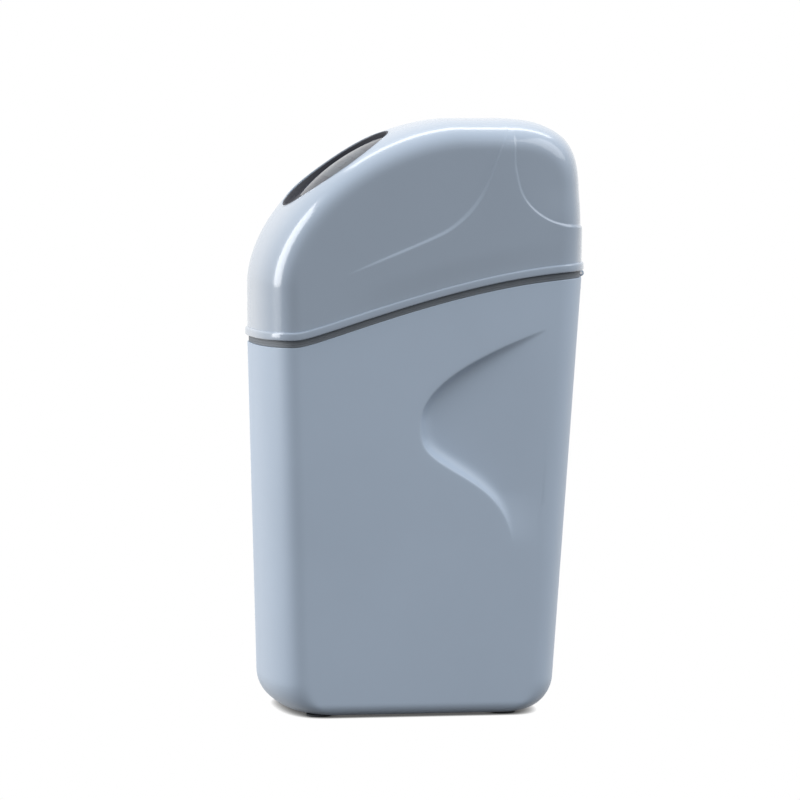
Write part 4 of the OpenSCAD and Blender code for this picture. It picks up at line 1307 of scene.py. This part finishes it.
    def glass(self) -> None:
        """Builds the window's pane, proud of the panel, with a rounded edge and a slight dome."""
        angle = turns(200)
        skin = Skin()
        rings = [self.window(angle, -0.05, -3.9)]
        for turn in np.radians(np.linspace(0.0, 90.0, 9)):
            rings.append(self.window(angle, -0.05 - self.edge * (1.0 - math.cos(turn)),
                                     self.rise - self.dome - self.edge * (1.0 - math.sin(turn))))
        start = rings[-1]
        middle = np.array([0.0, self.window_at, 0.0])
        for t in np.linspace(0.97, 0.02, 32):
            ring = middle + (start - middle) * t
            ring[:, 2] = self.rise - self.dome * t * t
            rings.append(ring)
        ids = skin.loops([self.to_model(r) for r in rings])
        skin.cap(ids[-1])
        skin.cap(ids[0], flip=True)
        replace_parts(skin.build("panel_glass", GLASS, "hood_body", "panel_glass"), "display_glass")

    def slab(self, skin: Skin, u: tuple[float, float], v: tuple[float, float],
             w: tuple[float, float], lean: float = 0.0) -> None:
        """Adds a small bevelled slab.

        Args:
            skin: The piece that gets it.
            u: Across, from and to.
            v: Up the slope, from and to.
            w: Height over the panel's face, from and to.
            lean: Shift across for each millimetre up the slope.
        """
        c = min(0.25, (u[1] - u[0]) / 4.0, (v[1] - v[0]) / 4.0)
        rings = []
        for inset, high in ((0.0, w[0]), (0.0, w[1] - c), (c, w[1])):
            left, right, low, top = u[0] + inset, u[1] - inset, v[0] + inset, v[1] - inset
            corners = ((left, low), (right, low), (right, top), (left, top))
            rings.append(self.to_model(np.array([[a + lean * (b - v[0]), b, high] for a, b in corners])))
        ids = skin.loops(rings)
        skin.cap(ids[-1])

    def display(self) -> None:
        """Builds the display module under the glass and the dark film round it."""
        skin = Skin()
        at, under = self.lcd_at, self.film_w - 0.2
        self.slab(skin, (-self.lcd_u - 1.0, self.lcd_u + 1.0), (at - self.lcd_v - 1.0, at + self.lcd_v + 1.0),
                  (-9.0, under))
        skin.build("lcd_module", LCD, "hood_body", "panel_glass", 30.0)
        angle = turns(160)
        inner = np.stack([self.lcd_u * pow_s(angle + math.pi / 2.0, 9.0), at + self.lcd_v * pow_s(angle, 9.0),
                          np.full(len(angle), self.film_w)], -1)
        film = Skin()
        rings = (self.window(angle, -0.3, self.film_w), inner, inner - [0.0, 0.0, 0.7])
        film.loops([self.to_model(r) for r in rings])
        film.build("lcd_surround", FILM, "hood_body", "bezel_black", 30.0)
        self.figures((under - 0.1, under + 0.05))

    def figures(self, w: tuple[float, float]) -> None:
        """Builds a row of plain seven-bar figures with a colon.

        Args:
            w: Height over the panel's face, from and to.
        """
        ink = Skin()
        wide, tall, bar_t, low = 8.0, 9.0, 1.5, 2.0
        flat = {"a": 2.0 * tall, "g": tall, "d": 0.0}
        upright = {"f": (0.0, tall), "e": (0.0, 0.0), "b": (wide, tall), "c": (wide, 0.0)}
        bars = {"0": "abcdef", "1": "bc", "2": "abged", "3": "abgcd"}
        for k, figure in enumerate("1230"):
            x = -27.0 + k * 13.0 + (3.0 if k > 1 else 0.0)
            for bar in bars[figure]:
                if bar in flat:
                    u, v = (x + 0.8, x + wide + 0.7), (low + flat[bar], low + flat[bar] + bar_t)
                else:
                    bx, by = upright[bar]
                    u, v = (x + bx, x + bx + bar_t), (low + by + 0.8, low + by + tall + 0.7)
                self.slab(ink, u, v, w, 0.08)
        for y in (7.0, 15.0):
            self.slab(ink, (-1.6, 0.2), (y, y + 1.8), w)
        ink.build("lcd_figures", INK, "hood_body", "bezel_black", 30.0)

    def key(self, k: int, node: str) -> None:
        """Builds one key: a dished cap with a raised sign.

        Args:
            k: The key's place from the left.
            node: The CAD node it stands for.
        """
        r, place = self.key_r, self.key_frame(k)
        profile = [(0.05, -6.5), (r + 1.5, -6.5), (r + 1.5, -5.0), (r, -5.0), (r, -0.2), (r - 0.15, 0.15),
                   (r - 0.6, 0.38), (r - 1.0, 0.38), (r - 1.7, 0.12), (1.2, -0.05), (0.05, -0.06)]
        skin = Skin()
        skin.loops(lathe(profile, 40, place))
        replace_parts(skin.build(f"{node}_cap", KEY, f"{node}_body", "key_grey", 45.0), node)
        sign = Skin()
        if k in (1, 2):
            up = 1 if k == 2 else -1
            arrow = r * np.array([[-0.36, -0.21 * up, 0.0], [0.36, -0.21 * up, 0.0], [0.0, 0.31 * up, 0.0]])
            steps = ((1.0, -0.1), (1.0, 0.2), (0.8, 0.3))
            ids = sign.loops([place(arrow[::up] * f + [0.0, 0.0, w]) for f, w in steps])
            sign.cap(ids[-1])
        else:
            out, hole = 0.45 * r, (0.31 if k == 0 else 0.35) * r
            profile = [(out, -0.1), (out, 0.2), (out - 0.2, 0.3),
                       (hole + 0.2, 0.3), (hole, 0.2), (hole, -0.1)]
            sign.loops(lathe(profile, 40, place))
            if k == 3:
                dot = [(0.16 * r, -0.1), (0.16 * r, 0.2), (0.12 * r, 0.3), (0.02, 0.3)]
                sign.loops(lathe(dot, 24, place))
        sign.build(f"{node}_sign", PALE, f"{node}_body", "key_grey", 30.0)


@dataclass
class Works:
    """The inner pieces, which keep their CAD shapes and get their finishes here."""

    finishes: dict[Finish, tuple[str, ...]] = field(default_factory=lambda: {
        STEEL: ("hinge_pin", "housing_screws", "bonnet_screws", "rotor_spindle", "motor_bracket",
                "float_rod"),
        BLACK: ("display_housing", "tank_boot", "valve_body", "valve_bonnet", "bypass_body", "union_nuts",
                "inlet_tail", "outlet_tail", "drain_spigot", "overflow_spigot", "overflow_nut",
                "cable_gland"),
        PALE: ("riser_tube", "lower_strainer", "upper_strainer", "injector_cap", "meter_cage", "brine_elbow",
               "brine_tube", "brine_well", "brine_valve", "salt_grid"),
        BOARD: ("display_board",), TANK: ("resin_tank",), RESIN: ("resin_bed",),
        CERAMIC: ("fixed_disc", "rotor_disc"), GEAR: ("main_gear", "motor_pinion"), MOTOR: ("drive_motor",),
        BLUE: ("meter_turbine", "bypass_knob_in", "bypass_knob_out"), ORANGE: ("float_bob",)})

    def dress(self) -> None:
        """Gives every CAD node that shows its finish."""
        for finish, names in self.finishes.items():
            for name in names:
                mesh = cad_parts[name].data
                mesh.materials.clear()
                mesh.materials.append(finish.build())
                log.info("%s: %s", name, finish.name)


@dataclass
class Studio:
    """Floor, world, lamps and camera."""

    yaw: float = 80.25
    pitch: float = 3.4
    distance: float = 6.0
    scale: float = 0.891
    target: tuple[float, float, float] = (0.0, 0.0, 0.33)
    target_px: tuple[float, float] = (415.5, 412.5)
    horizon: float = 0.08
    zenith: float = 2.0
    bounce: float = 0.08
    frame_px: float = 800.0
    floor_r: float = 9.0
    shade_reach: float = 0.008
    lamp_aim: tuple[float, float, float] = (0.0, 0.0, 0.4)

    def build(self) -> None:
        """Sets up everything round the object."""
        bpy.context.scene.view_settings.view_transform = "Standard"
        self.world()
        self.floor()
        self.lamp("front_box", (-0.85, -2.0, 1.25), (1.1, 1.9), 36.0)
        self.lamp("rear_box", (0.7, 1.7, 2.3), (2.0, 2.0), 26.0)
        self.lamp("top_strip", (-1.6, 0.3, 2.3), (2.4, 0.35), 8.0)
        self.camera()

    def seen(self, tree: bpy.types.NodeTree) -> bpy.types.NodeSocket:
        """Adds a switch for rays that show the background.

        Args:
            tree: The node tree.

        Returns:
            One where the camera, a reflection or a view through glass looks at it, else zero.
        """
        path = tree.nodes.new("ShaderNodeLightPath")
        found = path.outputs["Is Camera Ray"]
        for kind in ("Is Glossy Ray", "Is Transmission Ray"):
            either = tree.nodes.new("ShaderNodeMath")
            either.operation = "MAXIMUM"
            tree.links.new(found, either.inputs[0])
            tree.links.new(path.outputs[kind], either.inputs[1])
            found = either.outputs["Value"]
        return found

    def show(self, tree: bpy.types.NodeTree, lit: bpy.types.Node, white: bpy.types.Node,
             out: bpy.types.Node) -> None:
        """Joins two shaders: one for the light and one for what is looked at.

        Args:
            tree: The node tree.
            lit: Shader that lights the object.
            white: Shader that shows.
            out: The tree's output.
        """
        both = tree.nodes.new("ShaderNodeMixShader")
        tree.links.new(self.seen(tree), both.inputs["Fac"])
        tree.links.new(lit.outputs[0], both.inputs[1])
        tree.links.new(white.outputs[0], both.inputs[2])
        tree.links.new(both.outputs[0], out.inputs["Surface"])

    def world(self) -> None:
        """White where it is looked at, and as light a soft sky that grows brighter overhead."""
        world = bpy.data.worlds.new("studio_world")
        bpy.context.scene.world = world
        world.use_nodes = True
        tree = world.node_tree
        tree.nodes.clear()
        way, split = tree.nodes.new("ShaderNodeTexCoord"), tree.nodes.new("ShaderNodeSeparateXYZ")
        tree.links.new(way.outputs["Generated"], split.inputs["Vector"])
        climb = tree.nodes.new("ShaderNodeMapRange")
        climb.inputs["To Min"].default_value = self.horizon
        climb.inputs["To Max"].default_value = self.zenith
        tree.links.new(split.outputs["Z"], climb.inputs["Value"])
        white, glow = tree.nodes.new("ShaderNodeBackground"), tree.nodes.new("ShaderNodeBackground")
        white.inputs["Color"].default_value = (1.0, 1.0, 1.0, 1.0)
        glow.inputs["Color"].default_value = (0.94, 0.97, 1.0, 1.0)
        tree.links.new(climb.outputs["Result"], glow.inputs["Strength"])
        self.show(tree, glow, white, tree.nodes.new("ShaderNodeOutputWorld"))

    def floor(self) -> None:
        """A wide pale floor, white where it is looked at, with a soft shadow close round the object."""
        ring = [(self.floor_r * math.cos(a), self.floor_r * math.sin(a), 0.0) for a in turns(96)]
        mesh = bpy.data.meshes.new("floor")
        mesh.from_pydata(ring, [], [tuple(range(len(ring)))])
        mat = bpy.data.materials.new("floor_paper")
        mat.use_nodes = True
        tree = mat.node_tree
        shader, out = tree.nodes["Principled BSDF"], tree.nodes["Material Output"]
        shader.inputs["Base Color"].default_value = (self.bounce, self.bounce, self.bounce, 1.0)
        shader.inputs["Roughness"].default_value = 0.9
        white, shade = tree.nodes.new("ShaderNodeEmission"), tree.nodes.new("ShaderNodeAmbientOcclusion")
        shade.inputs["Distance"].default_value = self.shade_reach
        tree.links.new(shade.outputs["Color"], white.inputs["Color"])
        self.show(tree, shader, white, out)
        mesh.materials.append(mat)
        floor = bpy.data.objects.new("floor", mesh)
        bpy.context.scene.collection.objects.link(floor)

    def lamp(self, name: str, at: tuple[float, float, float], size: tuple[float, float],
             power: float) -> None:
        """Adds a soft box that looks at the object.

        Args:
            name: Its name.
            at: Its place in metres.
            size: Its width and height in metres.
            power: Its power in watts.
        """
        data = bpy.data.lights.new(name, "AREA")
        data.shape = "RECTANGLE"
        data.size, data.size_y = size
        data.energy = power
        lamp = bpy.data.objects.new(name, data)
        lamp.location = at
        look = Vector(self.lamp_aim) - Vector(at)
        lamp.rotation_euler = look.to_track_quat("-Z", "Y").to_euler()
        bpy.context.scene.collection.objects.link(lamp)

    def camera(self) -> None:
        """Puts the camera where the photograph was taken from."""
        turn, dip = math.radians(90.0 - self.yaw), math.radians(self.pitch)
        right = Vector((math.sin(turn), math.cos(turn), 0.0))
        ahead = Vector((-math.cos(turn) * math.cos(dip), math.sin(turn) * math.cos(dip), -math.sin(dip)))
        up = right.cross(ahead)
        unit, middle = MM / self.scale, self.frame_px / 2.0
        aim = Vector(self.target) - right * (self.target_px[0] - middle) * unit
        aim += up * (self.target_px[1] - middle) * unit
        data = bpy.data.cameras.new("camera")
        data.lens = data.sensor_width * self.scale * self.distance / MM / self.frame_px
        data.clip_end = 60.0
        camera = bpy.data.objects.new("camera", data)
        camera.matrix_world = Matrix.Translation(aim - ahead * self.distance) @ Matrix(
            ((right.x, up.x, -ahead.x), (right.y, up.y, -ahead.y), (right.z, up.z, -ahead.z))).to_4x4()
        bpy.context.scene.collection.objects.link(camera)
        bpy.context.scene.camera = camera


def main() -> None:
    """Sets up the studio, then builds the softener's visible pieces in order and gives the inner pieces their
    finishes.
    """
    logging.basicConfig(level=logging.INFO, format="%(message)s")
    shell = Shell()
    hinge = Hinge(shell)
    panel = ControlPanel()
    Studio().build()
    Tub(shell, hinge).build()
    SeamBand(shell).build()
    Hood(shell, hinge).build(panel)
    panel.build()
    Works().dress()


if __name__ == "__main__":
    main()
